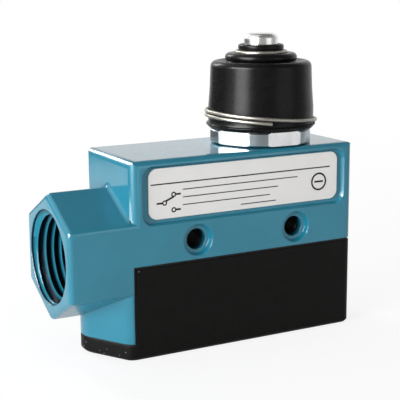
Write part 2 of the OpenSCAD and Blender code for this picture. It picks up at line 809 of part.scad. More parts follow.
// Outer and inner profile of the boot from the bead up over the shoulder and crown to the neck
module boot() {
    bead_r = bead_d / 2;
    grip_r = collar_d / 2 + seat_gap;
    top_r_skirt = shoulder_d / 2;
    crown_r = crown_d / 2;
    crown_round = crown_h / 2 - neck_depth;
    z_crown = z_ledge + crown_h - crown_round;
    z_crown_top = z_ledge + crown_h;
    z_under = z_crown_top - 1.4 * rubber_t;
    z_waist = z_clamp + clamp_pitch * clamp_turns + clamp_sway + clamp_wire_d;
    z_half = (z_waist + z_rim) / 2;
    half_r = (2 * top_r_skirt + groove_r) / 3;
    shoulder = [top_r_skirt - shoulder_r, z_rim - shoulder_r];
    z_ring_foot = z_neck_ring - neck_wire_d / 2;
    hug_r = plunger_r + slide_gap;
    color("#1b1b1d") on_plunger() polygon(concat(
        [[bead_r - bead_draft, boot_foot]],
        arc([bead_r - crease, z_groove - crease], crease, -10, 90, 5),
        [[groove_r, z_groove], [groove_r, z_waist], [half_r, z_half]],
        arc(shoulder, shoulder_r, 0, 96, 10),
        [[crown_r + crease, z_ledge]],
        arc([crown_r - 2 * crease, z_ledge + crease], crease, -60, 60, 5),
        arc([crown_r - crown_round, z_crown], crown_round, -40, 90, 10),
        [[neck_ring_r + neck_wire_d / 2 + crease, z_crown_top]],
        [[neck_ring_r, z_ring_foot - neck_depth], [neck_r, z_ring_foot + neck_depth], [neck_r, z_lip_foot]],
        arc([lip_ring_d / 2 - lip_round, z_lip_top - lip_round], lip_round, 0, 90, 6),
        [[hug_r, z_lip_top - lip_dish], [hug_r, z_under], [crown_r - crown_round - crease, z_under]],
        [[crown_r - rubber_t, z_crown - crease], [crown_r - rubber_t, z_ledge - rubber_t]],
        arc(shoulder, shoulder_r - rubber_t, 90, 0, 6),
        [[half_r - rubber_t, z_half], [groove_r - rubber_t, z_waist]],
        [[groove_r - rubber_t, z_collar_top + edge_c], [grip_r, z_collar_top - edge_c]],
        [[grip_r, boot_foot]]));
}

module boot_clamp() {
    color("#b8b4a4") translate([plunger_x, y_mid, 0])
        wound_wire(clamp_r, clamp_wire_d / 2, z_clamp + clamp_pitch * clamp_turns, -clamp_pitch * clamp_turns,
            clamp_turns, clamp_end - 360 * clamp_turns, clamp_sway, 48, 10);
}

module neck_ring() {
    color("#b8b4a4") on_plunger() translate([neck_ring_r, z_neck_ring]) circle(neck_wire_d / 2);
}

module plunger() {
    bore_r = spring_bore_d / 2;
    flange_r = chamber_d / 2 - flange_gap;
    color("#c4c6c6") on_plunger() polygon(concat(
        [[bore_r, z_tail], [plunger_r - edge_c, z_tail], [plunger_r, z_tail + edge_c], [plunger_r, z_flange]],
        [[flange_r, z_flange], [flange_r, z_flange + flange_t], [plunger_r, z_flange + flange_t]],
        arc([plunger_r - tip_r, z_tip - tip_r], tip_r, 0, 90, 8),
        [[0, z_tip], [0, z_spring_top], [bore_r, z_spring_top]]));
}

module striker_retainer() {
    inner_r = striker_d / 2 + slide_gap;
    outer_r = spring_bore_d / 2 - press_gap;
    color("#8f9296") on_plunger()
        translate([inner_r, z_tail]) square([outer_r - inner_r, retainer_t]);
}

module return_spring() {
    wire_r = return_wire_d / 2;
    mean_r = (plunger_r + chamber_d / 2) / 2;
    color("#a9acaf") translate([plunger_x, y_mid, 0])
        wound_wire(mean_r, wire_r, z_spring_low + wire_r + seat_gap,
            return_rest - return_wire_d - 2 * seat_gap, return_turns);
}

module spring_seat() {
    inner_r = striker_d / 2 + spring_lip_w;
    outer_r = chamber_d / 2 - seat_gap;
    color("#9a9da0") on_plunger()
        translate([inner_r, z_seat]) square([outer_r - inner_r, seat_t]);
}

module overtravel_spring() {
    wire_r = over_wire_d / 2;
    mean_r = spring_bore_d / 2 - head_play - wire_r;
    low = z_striker_top + wire_r + seat_gap;
    high = z_spring_top - wire_r - seat_gap;
    color("#a9acaf") translate([plunger_x, y_mid, 0])
        wound_wire(mean_r, wire_r, low, high - low, over_turns, steps = 18, sides = 6);
}

module striker_pin() {
    head_r = spring_bore_d / 2 - hole_play;
    nib_r = spring_bore_d / 2 - over_wire_d - 2 * head_play;
    z_nib = z_striker_top + striker_head_h;
    color("#b4b6b8") on_plunger() polygon([
        [0, z_striker], [striker_d / 2 - edge_c, z_striker], [striker_d / 2, z_striker + edge_c],
        [striker_d / 2, z_striker_head], [head_r, z_striker_head],
        [head_r, z_striker_top], [nib_r, z_striker_top], [nib_r, z_nib - edge_c],
        [nib_r - edge_c, z_nib], [0, z_nib]]);
}

// Block of the switch case between two heights, with a little relief on its upright edges
module case_block(z0, z1) {
    upright(z0, z1) rounded_rect([case_l, 2 * case_half], case_edge_r);
}

// Holes for the two rivets that join lid and base
module rivet_holes() {
    for (p = rivet_places)
        translate([p.x, y_mid + p.y * rivet_y, -case_bottom - cut])
            cylinder(r = rivet_d / 2 + thread_gap, h = case_bottom + case_top + 2 * cut);
}

module switch_base() {
    color("#2c2622") difference() {
        case_block(-case_bottom, split_h);
        for (t = [-1, 1])
            crossbar(t * hole_spacing / 2, 0, hole_d / 2, cut, body_t + 2 * cut);
        for (x = [common_leg_x, open_leg_x, closed_leg_x])
            strip(x - seat_gap, x + strip_t + seat_gap, -case_bottom - cut, split_h + cut,
                strip_w + 2 * seat_gap);
        for (x = terminal_places)
            translate([x, y_mid, -case_bottom - cut])
                cylinder(r = terminal_screw_d / 2 + thread_gap, h = screw_sink + blind + cut);
        rivet_holes();
    }
}

module switch_lid() {
    color("#332b26") difference() {
        case_block(split_h, case_top);
        upright(split_h - cut, z_roof) square([2 * chamber_half_l, chamber_w], center = true);
        translate([plunger_x, y_mid, z_roof - cut])
            cylinder(r = button_d / 2 + slide_gap, h = roof_t + 2 * cut);
        rivet_holes();
    }
}

module case_rivets() {
    color("#a58b52")
        for (p = rivet_places)
            translate([p.x, y_mid + p.y * rivet_y, 0]) {
                translate([0, 0, -case_bottom - rivet_head_h])
                    cylinder(r = rivet_d / 2, h = case_bottom + case_top + 2 * rivet_head_h);
                for (z = [-case_bottom - rivet_head_h, case_top])
                    translate([0, 0, z]) cylinder(r = rivet_d / 2 + rivet_rim, h = rivet_head_h);
            }
}

module push_button() {
    foot = z_blade + blade_t + seat_gap;
    button_r = button_d / 2;
    keep_r = button_r + keeper_rim;
    keep_top = z_roof - seat_gap;
    color("#7a1f1a") on_plunger() polygon([
        [0, foot], [button_r - edge_c, foot], [button_r, foot + edge_c],
        [button_r, keep_top - keeper_t], [keep_r, keep_top - keeper_t],
        [keep_r, keep_top], [button_r, keep_top],
        [button_r, z_button - edge_c], [button_r - edge_c, z_button], [0, z_button]]);
}

// Snap blade: a long leaf with two slits that leave a tongue between its outer legs
module snap_blade() {
    tongue_w = strip_w / 4;
    slit_w = strip_w / 6;
    slit_x = blade_hinge_x + strip_w / 2;
    slit_l = plunger_x - button_d / 2 - strip_w / 3 - slit_x;
    x0 = common_leg_x + strip_t;
    x1 = contact_x + contact_d / 2 + arm_rim;
    color("#b08d57") translate([0, y_mid, z_blade]) linear_extrude(blade_t) difference() {
        translate([x0, -strip_w / 2]) square([x1 - x0, strip_w]);
        translate([slit_x, -tongue_w / 2 - slit_w]) square([slit_l, slit_w]);
        translate([slit_x, tongue_w / 2]) square([slit_l, slit_w]);
        translate([contact_x, 0]) circle(contact_d / 4 + press_gap);
    }
}

module moving_contact() {
    color("#d4d6d8") translate([contact_x, y_mid, 0]) {
        translate([0, 0, z_moving_low]) cylinder(r = contact_d / 2, h = z_blade - z_moving_low);
        translate([0, 0, z_moving_low]) cylinder(r = contact_d / 4, h = moving_contact_t);
        translate([0, 0, z_blade + blade_t])
            cylinder(r = contact_d / 2, h = z_moving_high - z_blade - blade_t);
    }
}

// Bent strip: a pad under the base with a screw hole, a leg through the base and an arm in the chamber
module terminal(screw_x, pad_x0, leg_x, arm_x0, arm_x1, arm_z) {
    difference() {
        union() {
            strip(pad_x0, pad_x0 + pad_l + strip_t, z_pad, -case_bottom, strip_w);
            strip(leg_x, leg_x + strip_t, z_pad, arm_z + strip_t, strip_w);
            strip(arm_x0, arm_x1, arm_z, arm_z + strip_t, strip_w);
        }
        translate([screw_x, y_mid, z_pad - cut])
            cylinder(r = terminal_screw_d / 2 + hole_play, h = strip_t + 2 * cut);
    }
}

module common_terminal() {
    color("#b9975b") terminal(common_x, common_leg_x, common_leg_x, common_leg_x, blade_hinge_x,
        z_blade - strip_t);
}

module open_terminal() {
    color("#b9975b") terminal(open_x, open_leg_x - pad_l, open_leg_x, open_leg_x,
        contact_x + contact_d / 2 + arm_rim, split_h);
}

module closed_terminal() {
    color("#b9975b") terminal(closed_x, closed_leg_x - pad_l, closed_leg_x,
        contact_x - contact_d / 2 - arm_rim, closed_leg_x + strip_t, z_closed_arm);
}

module open_contact() {
    color("#d4d6d8") translate([contact_x, y_mid, z_open_arm]) cylinder(r = contact_d / 2, h = contact_t);
}

module closed_contact() {
    color("#d4d6d8") translate([contact_x, y_mid, z_closed_face]) cylinder(r = contact_d / 2, h = contact_t);
}

module terminal_screws() {
    color("#bfc1c2")
        for (x = terminal_places)
            translate([x, y_mid, z_washer - terminal_head_h]) difference() {
                union() {
                    cylinder(r = terminal_head_d / 2, h = terminal_head_h);
                    cylinder(r = terminal_screw_d / 2, h = terminal_head_h + washer_t + strip_t + screw_sink);
                }
                translate([-terminal_head_d, -slot_w / 2, -cut])
                    cube([2 * terminal_head_d, slot_w, slot_depth + cut]);
            }
}

module terminal_washers() {
    color("#c9ccce")
        for (x = terminal_places)
            translate([x, y_mid, z_washer]) difference() {
                cylinder(r = terminal_head_d / 2 + arm_rim, h = washer_t);
                translate([0, 0, -cut])
                    cylinder(r = terminal_screw_d / 2 + hole_play, h = washer_t + 2 * cut);
            }
}

module ground_screw() {
    tip = blind + ground_tip_gap;
    color("#4f8a4c") translate([ground_x, y_ground, z_ground]) rotate([90, 0, 0]) difference() {
        union() {
            cylinder(r = ground_head_d / 2, h = ground_head_h);
            translate([0, 0, tip - ground_boss_depth])
                cylinder(r = ground_screw_d / 2, h = ground_boss_depth + ground_head_h - tip);
        }
        translate([-ground_head_d, -slot_w / 2, ground_head_h - slot_depth])
            cube([2 * ground_head_d, slot_w, slot_depth + cut]);
    }
}

housing();
cover();
cover_gasket();
cover_screws();
nameplate();
bushing_seal();
hex_bushing();
boot();
boot_clamp();
neck_ring();
plunger();
striker_retainer();
return_spring();
spring_seat();
overtravel_spring();
striker_pin();
switch_base();
switch_lid();
case_rivets();
push_button();
snap_blade();
moving_contact();
common_terminal();
open_terminal();
closed_terminal();
open_contact();
closed_contact();
terminal_screws();
terminal_washers();
ground_screw();
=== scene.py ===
"""Looks of an enclosed basic switch: enamelled housing, moulded cover, booted plunger and inner switch.

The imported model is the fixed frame. This file gives its solids their finishes, and adds the pieces that are
too soft or too fine for the solids: the rubber boot, the two coil springs, the thread in the conduit hub and
the print on the nameplate. Lengths in the settings are in metres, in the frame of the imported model.
"""
import math

import bmesh
import bpy
from bpy.props import FloatProperty, FloatVectorProperty, IntProperty, PointerProperty
from mathutils import Matrix, Vector


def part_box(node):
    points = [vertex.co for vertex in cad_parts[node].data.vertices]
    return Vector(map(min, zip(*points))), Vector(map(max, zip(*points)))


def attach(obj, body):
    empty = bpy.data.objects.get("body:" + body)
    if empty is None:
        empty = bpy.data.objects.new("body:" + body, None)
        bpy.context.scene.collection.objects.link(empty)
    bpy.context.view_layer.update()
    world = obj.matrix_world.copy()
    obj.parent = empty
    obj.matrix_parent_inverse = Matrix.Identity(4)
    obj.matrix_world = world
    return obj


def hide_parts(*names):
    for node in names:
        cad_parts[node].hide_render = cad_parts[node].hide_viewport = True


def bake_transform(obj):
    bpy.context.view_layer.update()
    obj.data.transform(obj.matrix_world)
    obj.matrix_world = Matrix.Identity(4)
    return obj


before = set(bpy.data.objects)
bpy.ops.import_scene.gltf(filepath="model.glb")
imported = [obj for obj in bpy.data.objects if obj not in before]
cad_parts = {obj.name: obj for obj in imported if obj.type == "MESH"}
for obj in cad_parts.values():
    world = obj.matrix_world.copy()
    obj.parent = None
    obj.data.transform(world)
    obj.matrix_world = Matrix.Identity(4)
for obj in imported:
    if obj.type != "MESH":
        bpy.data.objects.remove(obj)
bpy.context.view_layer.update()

bl_info = {
    "name": "Enclosed basic switch",
    "version": (1, 0, 0),
    "blender": (4, 5, 0),
    "location": "View3D > Sidebar > Switch",
    "description": "Finishes and soft pieces for the packed model of an enclosed basic switch",
    "category": "Object",
}

MM = 0.001
AXIS = (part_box("plunger")[0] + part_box("plunger")[1]) / 2
HUB_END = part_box("housing")[0].x
FLOOR_GAP = 0.02 * MM
FLOOR_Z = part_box("cover")[0].z - FLOOR_GAP

EVEN = (1.0, 1.0, 1.0)
WHITE = (1.0, 1.0, 1.0, 1.0)
BEVEL_SAMPLES = 6
WELD = 0.001 * MM
SENSOR_WIDTH = 36.0

# Lamps: name, setting with the power, width and height, and place, in metres.
AIM = Vector((-0.006, AXIS.y, 0.006))
LAMPS = (
    ("key_lamp", "key", (0.28, 0.26), (-0.53, -0.17, 0.06)),
    ("fill_lamp", "fill", (0.4, 0.36), (0.24, -0.56, 0.12)),
    ("rear_lamp", "rear", (0.14, 0.26), (-0.14, 0.56, 0.32)),
    ("gloss_lamp", "gloss", (0.44, 0.16), (-0.477, -0.093, 0.258)),
)
# Turns, in degrees, between which the low edge of a card steps up.
CARD_STEP = (340, 375)

# One pitch of the hub's thread, as shares of the pitch and of the groove's depth.
THREAD_PROFILE = ((0.0, 0.0), (0.06, 0.0), (0.46, 0.94), (0.5, 1.0), (0.56, 1.0), (0.6, 0.94))
# Room that the back and the face of the thread keep from the bore, and the distance at which they join.
BACK_GAP = 0.004 * MM
FACE_GAP = 0.01 * MM
JOIN = 0.012 * MM
NO_AREA = 1e-7

# Blank lines on the nameplate: start, end and height, in millimetres.
PLATE_LINES = ((-16.2, 13.4, 11.6), (-16.2, 8.2, 9.9), (-16.2, 6.0, 8.2), (-1.6, 7.6, 6.7))

# Unevenness round the boot's bead: waves in a turn, phase and share.
BEAD_WAVES = ((5, 0.6, 0.5), (11, 0.0, 0.3), (23, 2.0, 0.2))


def number(name, description, value, **kind):
    """A plain number, or one with a unit or limits."""
    return FloatProperty(name=name, description=description, default=value, **kind)


def size(name, description, mm):
    """A length setting, given in millimetres and kept in metres."""
    return number(name, description, mm * MM, unit="LENGTH", precision=5)


def share(name, description, value):
    """A number from 0 to 1."""
    return number(name, description, value, min=0.0, max=1.0, subtype="FACTOR")


def angle(name, description, degrees):
    """An angle setting, given in degrees and kept in radians."""
    return number(name, description, math.radians(degrees), subtype="ANGLE")


def power(name, description, watts):
    """Power of a lamp."""
    return number(name, description, watts, min=0.0, unit="POWER")


def count(name, description, value, least):
    """A whole number."""
    return IntProperty(name=name, description=description, default=value, min=least)


def paint(name, description, rgb):
    """A colour setting in linear light."""
    return FloatVectorProperty(name=name, description=description, default=rgb, subtype="COLOR", size=3,
                               min=0.0, max=1.0)


class FinishSettings(bpy.types.PropertyGroup):
    """Colours and gloss of the finishes."""

    enamel: paint("Enamel", "Blue enamel of the die-cast housing", (0.015, 0.204, 0.300))
    enamel_rough: share("Enamel roughness", "Roughness of the enamel", 0.17)
    enamel_coat: share("Enamel coat", "Weight of the clear gloss over the enamel", 0.5)
    coat_rough: share("Coat roughness", "Roughness of the clear gloss over the enamel", 0.11)
    # Painted shade: a dark colour that stands in for the shade in the thread's roots, at the step inside the
    # hub's mouth and deep in the mounting holes.
    painted_shade: paint("Shade", "Grime in the thread and the mounting holes", (0.002, 0.012, 0.022))
    cover: paint("Cover", "Black moulding of the wiring cover", (0.0040, 0.0040, 0.0036))
    dust: paint("Dust", "Specks of dust on the nose of the cover", (0.4, 0.4, 0.38))
    plate: paint("Plate", "White face of the nameplate", (0.84, 0.83, 0.81))
    ink: paint("Ink", "Print on the nameplate", (0.012, 0.012, 0.013))
    rubber: paint("Rubber", "Moulded rubber of the boot", (0.0042, 0.0042, 0.0044))
    seal: paint("Seal", "Rubber of the gasket and the bushing seal", (0.008, 0.008, 0.009))
    bushing: paint("Bushing", "Bright plate on the hexagonal bushing", (0.79, 0.80, 0.81))
    # Painted reflection: a darker bluish tone on the bushing's round corners that stands in for their
    # reflection of the darker surroundings.
    painted_reflection: paint("Turned", "Turned-down corners of the bushing", (0.36, 0.41, 0.44))
    wire: paint("Wire", "Drawn wire of the clamp and the neck ring", (0.33, 0.318, 0.282))
    steel: paint("Steel", "Polished steel of the plunger", (0.74, 0.74, 0.73))
    zinc: paint("Zinc", "Zinc plate on screws and washers", (0.66, 0.67, 0.68))
    spring: paint("Spring", "Spring wire", (0.42, 0.43, 0.45))
    phenolic: paint("Phenolic", "Moulding of the inner switch case", (0.014, 0.010, 0.008))
    brass: paint("Brass", "Brass of terminals and rivets", (0.60, 0.43, 0.17))
    blade: paint("Blade", "Copper alloy of the snap blade", (0.55, 0.32, 0.16))
    silver: paint("Silver", "Silver of the contacts", (0.83, 0.83, 0.81))
    button: paint("Button", "Red moulding of the push button", (0.24, 0.018, 0.013))
    ground: paint("Ground", "Green dyed plate of the ground screw", (0.05, 0.22, 0.06))


class ThreadSettings(bpy.types.PropertyGroup):
    """Pipe thread inside the conduit hub, and the mounting holes."""

    axis_z: size("Axis height", "Height of the hub axis", -2.8)
    pitch: size("Pitch", "Distance from crest to crest", 1.814)
    wall_r: size("Wall radius", "Radius of the bore under the thread", 10.5)
    crest_r: size("Crest radius", "Radius of the first crest", 9.25)
    depth: size("Depth", "Depth of the groove between two crests", 1.2)
    counterbore: size("Counterbore", "Depth from the hub's end to the countersink", 0.5)
    countersink: number("Countersink", "Fall of the countersink's radius over a unit of depth", 1.05)
    phase: share("Phase", "Share of a turn by which the thread is set towards the mouth", 0.63)
    length: size("Length", "Depth at which the thread runs out", 12.9)
    fade_start: size("Fade start", "Distance from the end at which the grooves start to fade", 1.6)
    fade_end: size("Fade end", "Distance from the end at which the grooves are gone", 0.3)
    run_out: number("Run-out", "Rise of the radius over a unit of depth at the end", 1.4)
    taper: share("Taper", "Loss of radius over a unit of length", 1 / 32)
    steps: count("Steps", "Facets in one turn", 96, least=24)
    hole_x: size("Hole place", "Distance of each hole from the middle", 12.7)
    hole_r: size("Hole radius", "Radius of the mounting holes", 2.35)


class BootSettings(bpy.types.PropertyGroup):
    """Outline of the rubber boot, as heights in the frame and radii about the plunger."""

    foot_z: size("Foot", "Height of the boot's foot", 22.05)
    foot_r: size("Foot radius", "Radius of the bead at the foot", 12.2)
    bead_r: size("Bead radius", "Radius over the bead", 12.8)
    bead_h: size("Bead height", "Height of the bead", 1.1)
    uneven: size("Unevenness", "Rise of the bead's unevenness", 0.035)
    groove_r: size("Groove radius", "Radius where the clamp wire sits", 12.3)
    skirt_r: size("Skirt radius", "Radius of the skirt at half its height", 11.93)
    skirt_z: size("Skirt height", "Height at which the skirt radius holds", 31.6)
    skirt_bow: share("Skirt bow", "Power by which the skirt is drawn in", 0.9)
    shoulder_r: size("Shoulder radius", "Radius of the skirt under the shoulder", 11.75)
    shoulder_round: size("Shoulder round", "Round of the shoulder", 1.4)
    rim_z: size("Rim", "Height of the shoulder's rim", 37.5)
    ledge_z: size("Ledge", "Height of the ledge at the foot of the crown", 36.95)
    fold: size("Fold", "Round of the fold at the foot of the crown", 0.27)
    crown_r: size("Crown radius", "Radius over the crown's bulge", 8.36)
    crown_z: size("Crown height", "Height of the bulge's middle", 38.22)
    crown_round: size("Crown round", "Round of the bulge", 1.07)
    neck_r: size("Neck radius", "Radius of the neck under the lip", 5.2)
    ring_r: size("Ring seat", "Radius out to which the neck ring covers the crown", 6.15)
    ring_z: size("Ring foot", "Height of the neck ring's underside", 39.0)
    lip_r: size("Lip radius", "Radius of the lip round the plunger", 5.3)
    lip_z: size("Lip top", "Height of the lip's top", 41.25)
    lip_dish: size("Lip dish", "Fall of the lip's top towards the plunger", 0.35)
    hug_r: size("Hug radius", "Radius at which the lip hugs the plunger", 4.01)
    collar_r: size("Collar radius", "Radius of the bushing collar inside the foot", 11.05)
    collar_z: size("Collar top", "Height of the bushing collar", 25.95)
    wall: size("Wall", "Thickness of the rubber", 1.1)
    soft: size("Soft edge", "Round of the small edges", 0.25)
    hair: size("Hair", "Offset that eases inner corners", 0.06)
    still_z: size("Still height", "Height up to which the boot keeps still", 26.4)
    clamp_room: size("Clamp room", "Height above that up to which the skirt is straight", 0.4)
    steps: count("Steps", "Facets round the boot", 160, least=32)


class SpringSettings(bpy.types.PropertyGroup):
    """The two coil springs inside the actuator."""

    return_r: size("Return radius", "Mean radius of the return spring", 4.935)
    return_wire: size("Return wire", "Wire diameter of the return spring", 0.7)
    return_turns: number("Return turns", "Turns of the return spring", 3.5)
    over_r: size("Overtravel radius", "Mean radius of the overtravel spring", 2.2)
    over_wire: size("Overtravel wire", "Wire diameter of the overtravel spring", 0.6)
    over_turns: number("Overtravel turns", "Turns of the overtravel spring", 8.0)


class PlateSettings(bpy.types.PropertyGroup):
    """Print on the nameplate."""

    rule_z: size("Rule height", "Height of the long rule", 13.2)
    rule_w: size("Rule width", "Width of the long rule", 0.28)
    line_w: size("Line width", "Width of the short lines", 0.22)
    stroke: size("Stroke", "Width of the diagram's strokes", 0.42)
    margin: size("Margin", "Room before the long rule, and a quarter of the room after it", 0.5)
    lift: size("Lift", "Thickness of the print over the plate", 0.02)
    diagram_x: size("Diagram place", "Place of the diagram along the plate", -19.9)
    diagram_z: size("Diagram height", "Height of the diagram", 9.0)
    sign_x: size("Sign place", "Place of the terminal sign along the plate", 19.3)
    sign_z: size("Sign height", "Height of the sign", 9.9)
    sign_r: size("Sign radius", "Radius of the sign", 1.9)
    sign_bar: size("Sign bar", "Half the length of the sign's bar", 1.2)


class StageSettings(bpy.types.PropertyGroup):
    """Camera, floor and lamps."""

    eye: FloatVectorProperty(name="Eye", description="Place of the camera", size=3, subtype="TRANSLATION",
                             unit="LENGTH", default=(-0.12365, -0.23168, 0.05800))
    yaw: angle("Yaw", "Turn of the view from +Y towards +X", 28.294)
    pitch: angle("Pitch", "Tilt of the view below the horizon", 11.799)
    roll: angle("Roll", "Roll of the view", -0.384)
    focal: number("Focal length", "Focal length in pixels of a 400 pixel frame", 1100.05)
    frame_width: count("Frame", "Width of the picture in pixels", 400, least=1)
    floor_r: size("Floor radius", "Reach of the floor", 600)
    floor_near: size("Floor near", "Radius where the floor starts to fade", 120)
    floor_far: size("Floor far", "Radius where the floor has faded out", 340)
    floor_tone: paint("Floor", "Colour of the pale floor", (0.86, 0.86, 0.86))
    floor_white: number("Floor white", "Strength of the floor's white", 1.15)
    floor_seen: share("Floor seen", "Share of that white in what the camera sees", 0.7)
    floor_mirrored: share("Floor mirrored", "Share of that white in what gloss and glass show", 0.25)
    ambient: share("Ambient", "Level of the even light from all round", 0.40)
    key: power("Key", "Power of the large lamp at the hub's side", 3.5)
    fill: power("Fill", "Power of the weak lamp across from the key", 0.4)
    rear: power("Rear", "Power of the lamp that draws the upper edges", 1.4)
    gloss: power("Gloss", "Power of the lamp that only gloss shows", 6.6)


class SwitchSettings(bpy.types.PropertyGroup):
    """All settings of the switch."""

    finish: PointerProperty(type=FinishSettings)
    thread: PointerProperty(type=ThreadSettings)
    boot: PointerProperty(type=BootSettings)
    springs: PointerProperty(type=SpringSettings)
    plate: PointerProperty(type=PlateSettings)
    stage: PointerProperty(type=StageSettings)


def settings():
    return bpy.context.scene.enclosed_switch


# Finishes


class Nodes:
    """A node tree, built node by node."""

    def __init__(self, tree):
        self.tree = tree

    def add(self, kind, values=None, **attributes):
        """A new node, with values or links on its sockets."""
        node = self.tree.nodes.new(kind)
        for key, value in attributes.items():
            setattr(node, key, value)
        for key, value in (values or {}).items():
            if isinstance(value, bpy.types.NodeSocket):
                self.tree.links.new(value, node.inputs[key])
            else:
                node.inputs[key].default_value = value
        return node

    def calc(self, operation, *values):
        """Result of a sum on numbers."""
        return self.add("ShaderNodeMath", dict(enumerate(values)), operation=operation).outputs[0]

    def spread(self, source, low, high, start=0.3, end=0.7):
        """Maps a source from start and end to the range from low to high."""
        values = {"Value": source, "From Min": start, "From Max": end, "To Min": low, "To Max": high}
        return self.add("ShaderNodeMapRange", values).outputs["Result"]

    def seen_rays(self):
        """One for rays that show the surround itself: from the camera, from gloss or through glass."""
        path = self.add("ShaderNodeLightPath").outputs
        mirrored = self.calc("MAXIMUM", path["Is Glossy Ray"], path["Is Transmission Ray"])
        return self.calc("MAXIMUM", path["Is Camera Ray"], mirrored)


class Finish(Nodes):
    """A node material with a Principled shader, built socket by socket."""

    # Sockets of a colour mix, whose names aren't unique.
    MIX_FACTOR, MIX_FIRST, MIX_SECOND, MIX_RESULT = 0, 6, 7, 2

    def __init__(self, name, **sockets):
        self.material = bpy.data.materials.new(name)
        self.material.use_nodes = True
        super().__init__(self.material.node_tree)
        self.shader = self.tree.nodes["Principled BSDF"]
        for socket, value in sockets.items():
            self.shader.inputs[socket.replace("_", " ")].default_value = value

    def to_shader(self, socket, source):
        self.tree.links.new(source, self.shader.inputs[socket])

    def vector(self, operation, *values):
        """Result of a sum on vectors."""
        node = self.add("ShaderNodeVectorMath", dict(enumerate(values)), operation=operation)
        return node.outputs["Value" if operation == "LENGTH" else "Vector"]

    def own(self):
        """Coordinates of the frame, in metres."""
        return self.add("ShaderNodeTexCoord").outputs["Object"]

    def part(self, vector, axis):
        """One coordinate of a vector."""
        return self.add("ShaderNodeSeparateXYZ", {"Vector": vector}).outputs[axis]

    def reach(self, vector, origin, across):
        """Distance from the line through an origin, with across 0 along that line and 1 across it."""
        offset = self.vector("SUBTRACT", vector, origin)
        return self.vector("LENGTH", self.vector("MULTIPLY", offset, across))

    def place(self, stretch=EVEN):
        """Coordinates of the frame, in millimetres, stretched along its axes."""
        scale = tuple(s / MM for s in stretch)
        return self.add("ShaderNodeMapping", {"Vector": self.own(), "Scale": scale}).outputs["Vector"]

    def noise(self, per_mm, detail=3.0, rough=0.55, stretch=EVEN):
        """Noise with so many waves in a millimetre."""
        values = {"Vector": self.place(stretch), "Scale": per_mm, "Detail": detail, "Roughness": rough}
        return self.add("ShaderNodeTexNoise", values).outputs["Fac"]

    def blend(self, factor, first, second):
        """Mixes two colours by a factor."""
        values = {self.MIX_FACTOR: factor, self.MIX_FIRST: first, self.MIX_SECOND: second}
        return self.add("ShaderNodeMix", values, data_type="RGBA").outputs[self.MIX_RESULT]

    def shades(self, source, rgb, drift):
        """Colour that drifts a little darker and lighter."""
        dark = colour(c * (1 - drift) for c in rgb)
        light = colour(min(c * (1 + drift), 1.0) for c in rgb)
        return self.blend(self.spread(source, 0.0, 1.0), dark, light)

    def relief(self, height, depth, edges=0.0):
        """Fine relief of a depth in millimetres, over edges that look a little rounded."""
        values = {"Height": height, "Distance": depth * MM, "Strength": 1.0}
        if edges:
            bevel = self.add("ShaderNodeBevel", {"Radius": edges * MM}, samples=BEVEL_SAMPLES)
            values["Normal"] = bevel.outputs["Normal"]
        self.to_shader("Normal", self.add("ShaderNodeBump", values).outputs["Normal"])


def colour(rgb):
    return (*rgb, 1.0)


def make_enamel(name, coat, specular, edges, painted_shade):
    """Glossy enamel that fades to a painted shade, by a factor from the radius and the depth in the hub's
    bore.
    """
    f = settings().finish
    t = settings().thread
    m = Finish(name, Coat_Weight=coat, Coat_Roughness=f.coat_rough, Specular_IOR_Level=specular)
    radius = m.reach(m.own(), (HUB_END, AXIS.y, t.axis_z), across=(0.0, 1.0, 1.0))
    depth = m.calc("SUBTRACT", m.part(m.own(), "X"), HUB_END)
    base = m.shades(m.noise(per_mm=0.11, detail=2.0), f.enamel, drift=0.05)
    # The enamel turns to the painted shade where shade falls in the bore and in the mounting holes.
    m.to_shader("Base Color", m.blend(painted_shade(m, t, radius, depth), base, colour(f.painted_shade)))
    m.to_shader("Roughness", m.spread(m.noise(per_mm=0.9), f.enamel_rough - 0.03, f.enamel_rough + 0.05))
    m.relief(m.noise(per_mm=1.3, detail=2.0), depth=0.005, edges=edges)
    return m.material


def mouth_painted_shade(m, t, radius, depth):
    """Painted shade at the step just inside the hub's end, and on the walls deep in the two mounting holes.
    """
    wall = m.spread(radius, 0.0, 1.0, start=t.wall_r + 0.06 * MM, end=t.wall_r + 0.02 * MM)
    shallow = m.spread(depth, 0.0, 1.0, start=1.2 * MM, end=1.0 * MM)
    folded = m.vector("ABSOLUTE", m.own())
    reach = m.reach(folded, (t.hole_x, 0.0, 0.0), across=(1.0, 0.0, 1.0))
    hole = m.spread(reach, 1.0, 0.0, start=t.hole_r + 0.05 * MM, end=t.hole_r + 0.1 * MM)
    front = -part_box("housing")[0].y
    inward = m.spread(m.part(folded, "Y"), 1.0, 0.0, start=front - 3.5 * MM, end=front - 1.2 * MM)
    return m.calc("MAXIMUM", m.calc("MULTIPLY", wall, shallow), m.calc("MULTIPLY", hole, inward))


def root_painted_shade(m, t, radius, depth):
    """Painted shade in the roots of the thread, beyond the countersink."""
    root = m.spread(radius, 0.0, 1.0, start=t.crest_r - 0.1 * MM, end=t.crest_r + 0.6 * MM)
    slope = m.calc("MULTIPLY_ADD", depth, t.countersink, radius)
    rim = t.wall_r + t.countersink * t.counterbore
    past = m.spread(slope, 0.0, 1.0, start=rim + 0.02 * MM, end=rim + 0.2 * MM)
    return m.calc("MULTIPLY", root, past)


